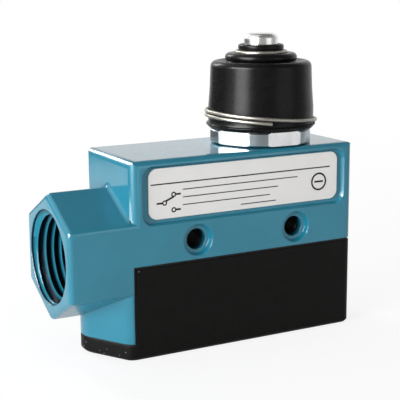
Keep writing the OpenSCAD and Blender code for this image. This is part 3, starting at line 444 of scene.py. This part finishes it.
def make_cover_black():
    """Fine matte moulding, with a few specks of dust on its nose under the hub."""
    f = settings().finish
    m = Finish("cover_black", Specular_IOR_Level=0.11)
    specks = m.add("ShaderNodeTexVoronoi", {"Vector": m.place(), "Scale": 1.1}, feature="F1")
    tone = m.add("ShaderNodeSeparateColor", {"Color": specks.outputs["Color"]}).outputs[0]
    rarity = m.spread(m.part(m.own(), "X"), 0.6, 1.01, start=-31 * MM, end=-26 * MM)
    speck = m.spread(specks.outputs["Distance"], 1.0, 0.0, start=0.08, end=0.16)
    dust = m.calc("MULTIPLY", speck, m.calc("GREATER_THAN", tone, rarity))
    base = m.shades(m.noise(per_mm=0.5), f.cover, drift=0.2)
    m.to_shader("Base Color", m.blend(dust, base, colour(f.dust)))
    m.to_shader("Roughness", m.spread(m.noise(per_mm=2.2), 0.36, 0.52))
    m.relief(m.noise(per_mm=4.5, detail=4.0), depth=0.012, edges=0.22)
    return m.material


def make_rubber(name, rgb, rough, specular, edges=0.0):
    """Smooth moulded rubber."""
    m = Finish(name, Specular_IOR_Level=specular)
    m.to_shader("Base Color", m.shades(m.noise(per_mm=0.35, detail=4.0), rgb, drift=0.3))
    m.to_shader("Roughness", m.spread(m.noise(per_mm=0.8, detail=4.0), rough - 0.02, rough + 0.04))
    m.relief(m.noise(per_mm=2.0, detail=2.0), depth=0.0015, edges=edges)
    return m.material


def make_metal(name, rgb, rough, stretch=EVEN, grain=3.0, depth=0.002, edges=0.12):
    """Bare or plated metal with a drawn grain that runs along the axis it is stretched on."""
    m = Finish(name, Metallic=1.0)
    lines = m.noise(per_mm=grain, rough=0.6, stretch=stretch)
    m.to_shader("Base Color", m.shades(m.noise(per_mm=0.3), rgb, drift=0.05))
    m.to_shader("Roughness", m.spread(lines, 0.85 * rough, 1.2 * rough))
    m.relief(lines, depth, edges)
    return m.material


def make_bushing_bright():
    """Bright plate, with a painted darker reflection on the corners cut round on the lathe."""
    f = settings().finish
    m = Finish("bushing_bright", Metallic=1.0)
    radius = m.reach(m.own(), tuple(AXIS), across=(1.0, 1.0, 0.0))
    low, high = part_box("hex_bushing")
    corner = (high.x - low.x) / 2
    # Mask of the round corners, which get the painted darker reflection in place of the bright plate.
    painted_reflection = m.spread(radius, 0.0, 1.0, start=corner - 0.06 * MM, end=corner - 0.03 * MM)
    grain = m.noise(per_mm=1.1, rough=0.6, stretch=(0.6, 0.6, 0.25))
    flats = m.shades(grain, f.bushing, drift=0.02)
    corners = m.shades(grain, f.painted_reflection, drift=0.05)
    m.to_shader("Base Color", m.blend(painted_reflection, flats, corners))
    m.to_shader("Roughness", m.spread(grain, 0.17, 0.24))
    m.relief(grain, depth=0.0004, edges=0.1)
    return m.material


def make_moulding(name, rgb, rough):
    """Moulded plastic of the inner switch."""
    m = Finish(name, Specular_IOR_Level=0.4)
    m.to_shader("Base Color", m.shades(m.noise(per_mm=0.8, detail=5.0), rgb, drift=0.2))
    m.to_shader("Roughness", m.spread(m.noise(per_mm=1.6), rough - 0.06, rough + 0.06))
    m.relief(m.noise(per_mm=3.0, detail=4.0), depth=0.01, edges=0.15)
    return m.material


def make_plate_white():
    """White face of the nameplate, brushed along its length."""
    m = Finish("plate_white", Specular_IOR_Level=0.35)
    m.to_shader("Base Color", m.shades(m.noise(per_mm=0.2, detail=4.0), settings().finish.plate, drift=0.012))
    brushed = m.noise(per_mm=1.5, rough=0.6, stretch=(0.1, 1.0, 1.0))
    m.to_shader("Roughness", m.spread(brushed, 0.32, 0.44))
    m.relief(m.noise(per_mm=2.5), depth=0.002, edges=0.1)
    return m.material


def make_ink():
    """Printed ink."""
    m = Finish("plate_ink", Specular_IOR_Level=0.3)
    m.to_shader("Base Color", m.shades(m.noise(per_mm=4.0), settings().finish.ink, drift=0.4))
    m.to_shader("Roughness", m.spread(m.noise(per_mm=3.0), 0.4, 0.55))
    return m.material


# Geometry


def smooth_group():
    """Node group that joins the solids' split faces and smooths every edge below an angle."""
    found = bpy.data.node_groups.get("smooth_by_angle")
    if found:
        return found
    n = Nodes(bpy.data.node_groups.new("smooth_by_angle", "GeometryNodeTree"))
    n.tree.interface.new_socket("Geometry", in_out="INPUT", socket_type="NodeSocketGeometry")
    n.tree.interface.new_socket("Angle", in_out="INPUT", socket_type="NodeSocketFloat")
    n.tree.interface.new_socket("Geometry", in_out="OUTPUT", socket_type="NodeSocketGeometry")
    start = n.add("NodeGroupInput").outputs
    weld = n.add("GeometryNodeMergeByDistance", {"Geometry": start["Geometry"], "Distance": WELD})
    bend = n.add("GeometryNodeInputMeshEdgeAngle").outputs["Unsigned Angle"]
    sharp = n.add("FunctionNodeCompare", {"A": bend, "B": start["Angle"]}, operation="GREATER_THAN")
    values = {"Mesh": weld.outputs["Geometry"], "Edge Sharpness": sharp.outputs["Result"],
              "Remove Custom": True, "Face Sharpness": False}
    normal = n.add("GeometryNodeSetMeshNormal", values, mode="SHARPNESS")
    n.add("NodeGroupOutput", {"Geometry": normal.outputs["Mesh"]})
    return n.tree


def smooth_solid(node, degrees):
    """Smooth shading for a solid of the frame, by modifiers alone, with sharp edges above an angle."""
    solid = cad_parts[node]
    modifier = solid.modifiers.new("Smooth", "NODES")
    modifier.node_group = smooth_group()
    modifier[modifier.node_group.interface.items_tree["Angle"].identifier] = math.radians(degrees)
    even = solid.modifiers.new("Even normals", "WEIGHTED_NORMAL")
    even.mode = "FACE_AREA"
    even.weight = 80
    even.keep_sharp = True


def finish_solids(material, *nodes, smooth=None):
    """Gives solids of the frame a material in place of their plain one."""
    for node in nodes:
        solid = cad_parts[node]
        solid.data.materials.clear()
        solid.data.materials.append(material)
        if smooth:
            smooth_solid(node, smooth)


def add_piece(name, vertices, faces, material, sharp=40.0):
    """A new mesh piece from points and faces in the frame, with sharp edges above an angle."""
    mesh = bpy.data.meshes.new(name)
    mesh.from_pydata(vertices, [], faces)
    work = bmesh.new()
    work.from_mesh(mesh)
    bmesh.ops.recalc_face_normals(work, faces=work.faces)
    work.to_mesh(mesh)
    work.free()
    mesh.materials.append(material)
    mesh.shade_smooth()
    mesh.set_sharp_from_angle(angle=math.radians(sharp))
    piece = bpy.data.objects.new(name, mesh)
    bpy.context.scene.collection.objects.link(piece)
    return piece


def arc(centre, radius, start, end, steps=8):
    """Points (r, z) on an arc between two angles in degrees."""
    angles = [math.radians(start + (end - start) * i / steps) for i in range(steps + 1)]
    return [(centre[0] + radius * math.cos(a), centre[1] + radius * math.sin(a)) for a in angles]


def revolve(profile, steps, wobble):
    """Ring of a closed profile (r, z) about the plunger axis, with a small wobble added to the radius."""
    columns = len(profile)
    points, faces = [], []
    for i in range(steps):
        a = 2 * math.pi * i / steps
        for r, z in profile:
            grown = r + wobble(a, r)
            points.append((AXIS.x + grown * math.cos(a), AXIS.y + grown * math.sin(a), z))
    for i in range(steps):
        k = (i + 1) % steps
        for j in range(columns):
            n = (j + 1) % columns
            faces.append((i * columns + j, k * columns + j, k * columns + n, i * columns + n))
    return points, faces


def coil(radius, wire, low, high, turns, around=28, sides=10):
    """Round wire wound evenly about the plunger axis, with flat cut ends."""
    rings = int(turns * around)
    points, faces = [], []
    for i in range(rings + 1):
        t = i / rings
        a = 2 * math.pi * turns * t
        rise = low + (high - low) * t
        for j in range(sides):
            b = 2 * math.pi * j / sides
            r = radius + wire / 2 * math.cos(b)
            points.append((AXIS.x + r * math.cos(a), AXIS.y + r * math.sin(a), rise + wire / 2 * math.sin(b)))
    for i in range(rings):
        for j in range(sides):
            k = (j + 1) % sides
            faces.append((i * sides + j, i * sides + k, (i + 1) * sides + k, (i + 1) * sides + j))
    faces.append(tuple(range(sides)))
    faces.append(tuple(rings * sides + j for j in range(sides)))
    return points, faces


def step_up(value, start, end):
    """Smooth rise from 0 at start to 1 at end."""
    t = min(max((value - start) / (end - start), 0.0), 1.0)
    return t * t * (3 - 2 * t)


# Operators


class SWITCH_OT_stage(bpy.types.Operator):
    """Sets up the camera, the floor, the lamps and the even white surround"""

    bl_idname = "switch.stage"
    bl_label = "Stage"

    def execute(self, context):
        s = settings().stage
        context.scene.view_settings.view_transform = "Standard"
        self.camera(context, s)
        self.surround(context, s)
        self.floor(s)
        for name, setting, extent, place in LAMPS:
            lamp = self.lamp(context, name, getattr(s, setting), extent, Vector(place))
            lamp.visible_diffuse = name != "gloss_lamp"
        self.card("room_card", turns=(214, 450), radius=0.9, low=(-16, 40), high=88, tones=(0.8, 0.36))
        self.card("side_card", turns=(92, 158), radius=0.24, low=(-5.6, -5.6), high=12, tones=(0.22, 0.22))
        return {"FINISHED"}

    @staticmethod
    def camera(context, s):
        side = Vector((math.cos(s.yaw), -math.sin(s.yaw), 0.0))
        ahead = Vector((math.sin(s.yaw), math.cos(s.yaw), 0.0))
        look = ahead * math.cos(s.pitch) - Vector((0.0, 0.0, math.sin(s.pitch)))
        rise = side.cross(look)
        right = side * math.cos(s.roll) + rise * math.sin(s.roll)
        up = rise * math.cos(s.roll) - side * math.sin(s.roll)
        data = bpy.data.cameras.new("camera")
        data.sensor_width = SENSOR_WIDTH
        data.sensor_fit = "HORIZONTAL"
        data.lens = s.focal / s.frame_width * SENSOR_WIDTH
        data.clip_start, data.clip_end = 0.01, 10.0
        camera = bpy.data.objects.new("camera", data)
        turn = Matrix((right, up, -look)).transposed().to_4x4()
        camera.matrix_world = Matrix.Translation(Vector(s.eye)) @ turn
        context.scene.collection.objects.link(camera)
        context.scene.camera = camera

    @staticmethod
    def surround(context, s):
        """Even light from all round, and white where it is seen."""
        world = bpy.data.worlds.new("surround")
        context.scene.world = world
        world.use_nodes = True
        n = Nodes(world.node_tree)
        background = n.tree.nodes["Background"]
        background.inputs["Color"].default_value = WHITE
        level = n.spread(n.seen_rays(), s.ambient, 1.0, start=0.0, end=1.0)
        n.tree.links.new(level, background.inputs["Strength"])

    @staticmethod
    def floor(s):
        """Pale round floor that keeps the shadow, fades out far off and can't be seen from below."""
        rings, around, growth = 10, 72, 1.5
        points = [(0.0, AXIS.y, FLOOR_Z)]
        faces = []
        for i in range(1, rings + 1):
            r = s.floor_r * (i / rings) ** growth
            for j in range(around):
                a = 2 * math.pi * j / around
                points.append((r * math.cos(a), AXIS.y + r * math.sin(a), FLOOR_Z))
        for j in range(around):
            k = (j + 1) % around
            faces.append((0, 1 + j, 1 + k))
            for i in range(rings - 1):
                a, b = 1 + i * around, 1 + (i + 1) * around
                faces.append((a + j, b + j, b + k, a + k))
        m = Finish("pale_floor", Roughness=0.9, Specular_IOR_Level=0.0)
        m.to_shader("Base Color", m.shades(m.noise(per_mm=0.02), s.floor_tone, drift=0.01))
        white = m.add("ShaderNodeEmission", {"Color": WHITE, "Strength": s.floor_white})
        camera = m.add("ShaderNodeLightPath").outputs["Is Camera Ray"]
        mirrored = m.calc("MULTIPLY", m.seen_rays(), s.floor_mirrored)
        lit = m.calc("MULTIPLY_ADD", camera, s.floor_seen - s.floor_mirrored, mirrored)
        glow = m.add("ShaderNodeMixShader", {0: lit, 1: m.shader.outputs[0], 2: white.outputs[0]})
        far = m.spread(m.vector("LENGTH", m.own()), 0.0, 1.0, start=s.floor_near, end=s.floor_far)
        gone = m.calc("MAXIMUM", far, m.add("ShaderNodeNewGeometry").outputs["Backfacing"])
        clear = m.add("ShaderNodeBsdfTransparent")
        fade = m.add("ShaderNodeMixShader", {0: gone, 1: glow.outputs[0], 2: clear.outputs[0]})
        m.tree.links.new(fade.outputs[0], m.tree.nodes["Material Output"].inputs["Surface"])
        floor = add_piece("floor", points, faces, m.material)
        if floor.data.polygons[0].normal.z < 0:
            floor.data.flip_normals()

    @staticmethod
    def lamp(context, name, watts, extent, place):
        data = bpy.data.lights.new(name, "AREA")
        data.shape = "RECTANGLE"
        data.size, data.size_y = extent
        data.energy = watts
        lamp = bpy.data.objects.new(name, data)
        turn = (AIM - place).to_track_quat("-Z", "Y").to_matrix().to_4x4()
        lamp.matrix_world = Matrix.Translation(place) @ turn
        context.scene.collection.objects.link(lamp)
        return lamp

    @staticmethod
    def card(name, turns, radius, low, high, tones):
        """Part of a dome that only gloss shows, between turns and rises in degrees, with two tones."""
        m = Finish(name, Roughness=1.0, Specular_IOR_Level=0.0)
        rise = m.spread(m.part(m.own(), "Z"), 0.0, 1.0, start=0.4 * radius, end=0.8 * radius)
        m.to_shader("Base Color", m.blend(rise, *(colour([tone] * 3) for tone in tones)))
        columns, rows = 48, 16
        points, faces = [], []
        for i in range(columns + 1):
            turn = turns[0] + (turns[1] - turns[0]) * i / columns
            a = math.radians(turn)
            edge = low[0] + (low[1] - low[0]) * step_up(turn, *CARD_STEP)
            for j in range(rows + 1):
                e = math.radians(edge + (high - edge) * j / rows)
                out = radius * math.cos(e)
                points.append((out * math.cos(a), out * math.sin(a), radius * math.sin(e)))
        for i in range(columns):
            for j in range(rows):
                a = i * (rows + 1) + j
                faces.append((a, a + rows + 1, a + rows + 2, a + 1))
        card = add_piece(name, points, faces, m.material)
        card.visible_camera = card.visible_diffuse = False
        card.visible_shadow = card.visible_transmission = False


class SWITCH_OT_housing(bpy.types.Operator):
    """Gives the die-cast housing its enamel"""

    bl_idname = "switch.housing"
    bl_label = "Housing"

    def execute(self, context):
        coat = settings().finish.enamel_coat
        # The housing's enamel carries painted shade at the hub's mouth and deep in the mounting holes.
        enamel = make_enamel("blue_enamel", coat, specular=0.5, edges=0.5, painted_shade=mouth_painted_shade)
        finish_solids(enamel, "housing", smooth=35.0)
        return {"FINISHED"}


class SWITCH_OT_hub_thread(bpy.types.Operator):
    """Cuts the tapered pipe thread that lines the conduit hub"""

    bl_idname = "switch.hub_thread"
    bl_label = "Hub thread"

    def execute(self, context):
        t = settings().thread
        turns = math.ceil((t.length - t.counterbore) / t.pitch) + 2
        total = turns * t.steps
        inner, outer = [], []
        for i in range(total + 1):
            a = 2 * math.pi * i / t.steps
            for share_x, share_d in THREAD_PROFILE:
                depth = t.counterbore + t.pitch * (i / t.steps - 1.0 - t.phase + share_x)
                depth = min(max(depth, t.counterbore), t.length)
                inner.append(self.point(t, a, depth, self.radius(t, depth, share_d)))
                outer.append(self.point(t, a, depth, t.wall_r - BACK_GAP))
        faces = self.sheet(total, t.steps, 0) + self.sheet(total, t.steps, len(inner))
        # The thread's enamel carries painted shade in the roots of the grooves.
        enamel = make_enamel("thread_enamel", coat=0.0, specular=0.2, edges=0.08, painted_shade=root_painted_shade)
        piece = add_piece("hub_thread", inner + outer, faces, enamel, sharp=28.0)
        self.clean(piece)
        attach(piece, "enclosure")
        return {"FINISHED"}

    @staticmethod
    def radius(t, depth, share_d):
        """Radius of the threaded surface: a countersink at the mouth, then crests and grooves."""
        crest = t.crest_r - t.taper * (depth - t.counterbore)
        cone = t.wall_r - FACE_GAP - (depth - t.counterbore) * t.countersink
        groove = t.depth * share_d * (1.0 - step_up(depth, t.length - t.fade_start, t.length - t.fade_end))
        end = t.wall_r - (t.length - depth) * t.run_out - FACE_GAP
        return min(max(crest + groove, cone, end), t.wall_r - FACE_GAP)

    @staticmethod
    def point(t, a, depth, r):
        return (HUB_END + depth, AXIS.y + r * math.cos(a), t.axis_z + r * math.sin(a))

    @staticmethod
    def sheet(total, steps, base):
        """Faces of a helical sheet whose last column meets the first column of the next turn."""
        columns = len(THREAD_PROFILE)
        faces = []
        for i in range(total):
            for j in range(columns):
                if j + 1 < columns:
                    b, d = i * columns + j + 1, (i + 1) * columns + j + 1
                elif i + 1 + steps <= total:
                    b, d = (i + steps) * columns, (i + 1 + steps) * columns
                else:
                    continue
                faces.append((base + i * columns + j, base + (i + 1) * columns + j, base + d, base + b))
        return faces

    @staticmethod
    def clean(piece):
        """Joins the two sheets where they meet and drops faces without area."""
        work = bmesh.new()
        work.from_mesh(piece.data)
        bmesh.ops.remove_doubles(work, verts=work.verts, dist=JOIN)
        bmesh.ops.dissolve_degenerate(work, edges=work.edges, dist=NO_AREA)
        work.to_mesh(piece.data)
        work.free()


class SWITCH_OT_cover(bpy.types.Operator):
    """Gives the wiring cover and the seals their black finishes"""

    bl_idname = "switch.cover"
    bl_label = "Cover and seals"

    def execute(self, context):
        finish_solids(make_cover_black(), "cover", smooth=35.0)
        seal = make_rubber("seal_rubber", settings().finish.seal, rough=0.6, specular=0.25, edges=0.1)
        finish_solids(seal, "cover_gasket", "bushing_seal")
        return {"FINISHED"}


class SWITCH_OT_nameplate(bpy.types.Operator):
    """Gives the nameplate its white face with a rule, blank lines, a contact diagram and a terminal sign"""

    bl_idname = "switch.nameplate"
    bl_label = "Nameplate"

    def execute(self, context):
        p = settings().plate
        finish_solids(make_plate_white(), "nameplate")
        low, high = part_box("nameplate")
        self.layers = (low.y - p.lift, low.y + p.lift)
        self.points, self.faces = [], []
        self.stroke(p.rule_w, (low.x + p.margin, p.rule_z), (high.x - 4 * p.margin, p.rule_z))
        for start, end, z in PLATE_LINES:
            self.stroke(p.line_w, (start * MM, z * MM), (end * MM, z * MM))
        self.contacts(p.stroke, p.diagram_x, p.diagram_z)
        self.ring(p.sign_x, p.sign_z, p.sign_r, p.stroke)
        self.stroke(p.stroke, (p.sign_x - p.sign_bar, p.sign_z), (p.sign_x + p.sign_bar, p.sign_z))
        piece = add_piece("plate_print", self.points, self.faces, make_ink())
        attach(piece, "enclosure")
        return {"FINISHED"}

    def stroke(self, width, start, end):
        """Straight stroke with square ends."""
        run = Vector(end) - Vector(start)
        side = Vector((-run.y, run.x)).normalized() * width / 2
        corners = (Vector(start) - side, Vector(end) - side, Vector(end) + side, Vector(start) + side)
        first = len(self.points)
        for y in self.layers:
            self.points += [(c.x, y, c.y) for c in corners]
        for face in ((0, 1, 2, 3), (7, 6, 5, 4), (0, 4, 5, 1), (1, 5, 6, 2), (2, 6, 7, 3), (3, 7, 4, 0)):
            self.faces.append(tuple(first + i for i in face))

    def ring(self, x, z, radius, width, steps=40):
        """Flat ring."""
        first = len(self.points)
        for i in range(steps):
            a = 2 * math.pi * i / steps
            for r in (radius - width / 2, radius + width / 2):
                self.points += [(x + r * math.cos(a), y, z + r * math.sin(a)) for y in self.layers]
            near, far = first + 4 * i, first + 4 * ((i + 1) % steps)
            for p, q in ((0, 2), (2, 3), (3, 1), (1, 0)):
                self.faces.append((near + p, near + q, far + q, far + p))

    def contacts(self, width, x, z):
        """Changeover contact: a common pole on the left with a slanted blade, two throws on the right."""
        pole, line = 0.45 * MM, 0.7 * width
        pole_x, throw_x, throw_z = x - 0.7 * MM, x + 1.5 * MM, 1.7 * MM
        left, right = x - 2.6 * MM, x + 3.2 * MM
        self.stroke(width, (left, z), (pole_x - pole, z))
        self.ring(pole_x, z, pole, line, steps=20)
        self.stroke(width, (x - 0.4 * MM, z + 0.4 * MM), (throw_x, z + throw_z - 0.5 * MM))
        for s in (-1, 1):
            self.ring(throw_x, z + s * throw_z, pole, line, steps=20)
            self.stroke(width, (throw_x + pole, z + s * throw_z), (right, z + s * throw_z))


class SWITCH_OT_bushing(bpy.types.Operator):
    """Gives the hexagonal bushing its bright plate"""

    bl_idname = "switch.bushing"
    bl_label = "Hexagonal bushing"

    def execute(self, context):
        finish_solids(make_bushing_bright(), "hex_bushing", smooth=14.0)
        return {"FINISHED"}


class SWITCH_OT_boot(bpy.types.Operator):
    """Moulds the rubber boot"""

    bl_idname = "switch.boot"
    bl_label = "Rubber boot"

    def execute(self, context):
        b = settings().boot
        rubber = make_rubber("boot_rubber_black", settings().finish.rubber, rough=0.27, specular=0.13)
        points, faces = revolve(self.profile(b), b.steps, self.unevenness(b))
        piece = add_piece("rubber_boot", points, faces, rubber, sharp=50.0)
        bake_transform(piece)
        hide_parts("boot")
        return {"FINISHED"}

    def profile(self, b):
        """Closed outline from the foot up the outside, over the crown and down the inside."""
        soft, hair = b.soft, b.hair
        groove_z = b.foot_z + b.bead_h
        shoulder = (b.shoulder_r - b.shoulder_round, b.rim_z - b.shoulder_round)
        bulge = (b.crown_r - b.crown_round, b.crown_z)
        crown_top = b.crown_z + b.crown_round
        lip = 2 * soft
        outside = arc((b.foot_r - soft, b.foot_z + soft), soft, -90, -30, 4)
        outside += arc((b.bead_r - soft, groove_z - soft), soft, -30, 90, 8)
        outside += [(b.groove_r + hair, groove_z), (b.groove_r, groove_z + hair)]
        for i in range(1, 15):
            z = groove_z + hair + (shoulder[1] - groove_z - hair) * i / 14
            outside.append((self.skirt_radius(b, z), z))
        outside += arc(shoulder, b.shoulder_round, 6, 97, 12)
        outside += [(b.crown_r + 2 * soft, b.ledge_z + hair), (b.crown_r + hair, b.ledge_z)]
        outside += arc((b.crown_r - 1.6 * b.fold, b.ledge_z + b.fold), b.fold, -70, 60, 8)
        outside += arc(bulge, b.crown_round, -46, 88, 16)
        outside += [(b.ring_r + soft, crown_top - hair / 2), (b.ring_r - soft, b.ring_z - hair)]
        outside += [(b.neck_r + 2 * hair, b.ring_z - hair), (b.neck_r, b.ring_z + 2 * hair)]
        outside += [(b.neck_r, b.lip_z - 2.4 * lip), (b.lip_r, b.lip_z - 2 * lip)]
        outside += arc((b.lip_r - lip, b.lip_z - lip), lip, 0, 90, 8)
        under = crown_top - 1.4 * b.wall
        dip = b.lip_z - b.lip_dish
        inside = [(b.hug_r + soft, dip), (b.hug_r, dip - soft), (b.hug_r, under)]
        inside += [(b.crown_r - b.crown_round - soft, under), (b.crown_r - b.wall, b.crown_z - soft)]
        inside += [(b.crown_r - b.wall, b.ledge_z - b.wall)]
        inside += arc(shoulder, b.shoulder_round - b.wall, 90, 6, 6)
        low = b.collar_z + 2 * soft
        for i in range(6, 0, -1):
            z = low + (shoulder[1] - low) * i / 6.5
            inside.append((self.skirt_radius(b, z) - b.wall, z))
        inside += [(b.groove_r - b.wall, b.collar_z + soft), (b.collar_r, b.collar_z - soft)]
        inside += [(b.collar_r, b.foot_z)]
        return outside + inside

    @staticmethod
    def skirt_radius(b, z):
        """Radius of the skirt at a height: straight at the clamp, then drawn in towards the shoulder."""
        clamp_top = b.still_z + b.clamp_room
        if z <= clamp_top:
            return b.groove_r
        if z <= b.skirt_z:
            t = (z - clamp_top) / (b.skirt_z - clamp_top)
            return b.groove_r + (b.skirt_r - b.groove_r) * t ** b.skirt_bow
        t = (z - b.skirt_z) / (b.rim_z - b.shoulder_round - b.skirt_z)
        return b.skirt_r + (b.shoulder_r - b.skirt_r) * min(t, 1.0)

    @staticmethod
    def unevenness(b):
        """Slight unevenness of the moulded bead, which alone reaches past the groove."""
        bead_from = b.groove_r + 0.15 * MM

        def wobble(a, r):
            if r < bead_from:
                return 0.0
            return b.uneven * sum(part * math.sin(n * a + phase) for n, phase, part in BEAD_WAVES)
        return wobble


class SWITCH_OT_wire_rings(bpy.types.Operator):
    """Gives the boot clamp and the neck ring their drawn wire"""

    bl_idname = "switch.wire_rings"
    bl_label = "Clamp and neck ring"

    def execute(self, context):
        f = settings().finish
        wire = make_metal("drawn_wire", f.wire, rough=0.38, grain=2.2, depth=0.001, edges=0.05)
        finish_solids(wire, "boot_clamp", "neck_ring", smooth=50.0)
        return {"FINISHED"}


class SWITCH_OT_plunger(bpy.types.Operator):
    """Gives the plunger, the pieces inside it and the screws their polished and plated steel"""

    bl_idname = "switch.plunger"
    bl_label = "Plunger and screws"

    def execute(self, context):
        f = settings().finish
        polished = make_metal("polished_plunger", f.steel, rough=0.22, grain=1.6, depth=0.0002, edges=0.05)
        finish_solids(polished, "plunger", "striker_pin", smooth=35.0)
        zinc = make_metal("zinc_plate", f.zinc, rough=0.3, grain=2.4, depth=0.003)
        finish_solids(zinc, "striker_retainer", "spring_seat", "cover_screws", "terminal_screws",
                      "terminal_washers")
        return {"FINISHED"}


class SWITCH_OT_springs(bpy.types.Operator):
    """Winds the return spring and the overtravel spring"""

    bl_idname = "switch.springs"
    bl_label = "Springs"

    def execute(self, context):
        s = settings().springs
        wire = make_metal("spring_wire", settings().finish.spring, rough=0.28, edges=0.03)
        self.wind("coil_return", "return_spring", s.return_r, s.return_wire, s.return_turns, wire)
        self.wind("coil_overtravel", "overtravel_spring", s.over_r, s.over_wire, s.over_turns, wire)
        return {"FINISHED"}

    @staticmethod
    def wind(name, node, radius, wire, turns, material):
        """Puts a coil of wire in the place of a spring's solid."""
        low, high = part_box(node)
        points, faces = coil(radius, wire, low.z + wire / 2, high.z - wire / 2, turns)
        piece = add_piece(name, points, faces, material, sharp=50.0)
        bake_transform(piece)
        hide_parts(node)


class SWITCH_OT_inner_switch(bpy.types.Operator):
    """Gives the inner switch its moulded case, button, blade, contacts and terminals"""

    bl_idname = "switch.inner_switch"
    bl_label = "Inner switch"

    def execute(self, context):
        f = settings().finish
        finish_solids(make_moulding("phenolic_case", f.phenolic, rough=0.42), "switch_base", "switch_lid")
        finish_solids(make_moulding("red_moulding", f.button, rough=0.3), "push_button")
        finish_solids(make_metal("plain_brass", f.brass, rough=0.28, stretch=(1.0, 0.2, 1.0)),
                      "case_rivets", "common_terminal", "open_terminal", "closed_terminal")
        finish_solids(make_metal("blade_alloy", f.blade, rough=0.22, stretch=(0.15, 1.0, 1.0)), "snap_blade")
        finish_solids(make_metal("contact_silver", f.silver, rough=0.25),
                      "moving_contact", "open_contact", "closed_contact")
        finish_solids(make_metal("green_plate", f.ground, rough=0.32), "ground_screw")
        return {"FINISHED"}


class SWITCH_PT_panel(bpy.types.Panel):
    """Lists the steps that dress the switch"""

    bl_idname = "SWITCH_PT_panel"
    bl_label = "Enclosed switch"
    bl_space_type = "VIEW_3D"
    bl_region_type = "UI"
    bl_category = "Switch"

    def draw(self, context):
        for step in STEPS:
            self.layout.operator(step.bl_idname)


STEPS = (
    SWITCH_OT_stage,
    SWITCH_OT_housing,
    SWITCH_OT_hub_thread,
    SWITCH_OT_cover,
    SWITCH_OT_nameplate,
    SWITCH_OT_bushing,
    SWITCH_OT_boot,
    SWITCH_OT_wire_rings,
    SWITCH_OT_plunger,
    SWITCH_OT_springs,
    SWITCH_OT_inner_switch,
)
SETTINGS = (FinishSettings, ThreadSettings, BootSettings, SpringSettings, PlateSettings, StageSettings)
CLASSES = (*SETTINGS, SwitchSettings, *STEPS, SWITCH_PT_panel)


def register():
    for cls in CLASSES:
        bpy.utils.register_class(cls)
    bpy.types.Scene.enclosed_switch = PointerProperty(type=SwitchSettings)


def unregister():
    del bpy.types.Scene.enclosed_switch
    for cls in reversed(CLASSES):
        bpy.utils.unregister_class(cls)


def main():
    register()
    bpy.ops.switch.stage()
    bpy.ops.switch.housing()
    bpy.ops.switch.hub_thread()
    bpy.ops.switch.cover()
    bpy.ops.switch.nameplate()
    bpy.ops.switch.bushing()
    bpy.ops.switch.boot()
    bpy.ops.switch.wire_rings()
    bpy.ops.switch.plunger()
    bpy.ops.switch.springs()
    bpy.ops.switch.inner_switch()


if __name__ == "__main__":
    main()
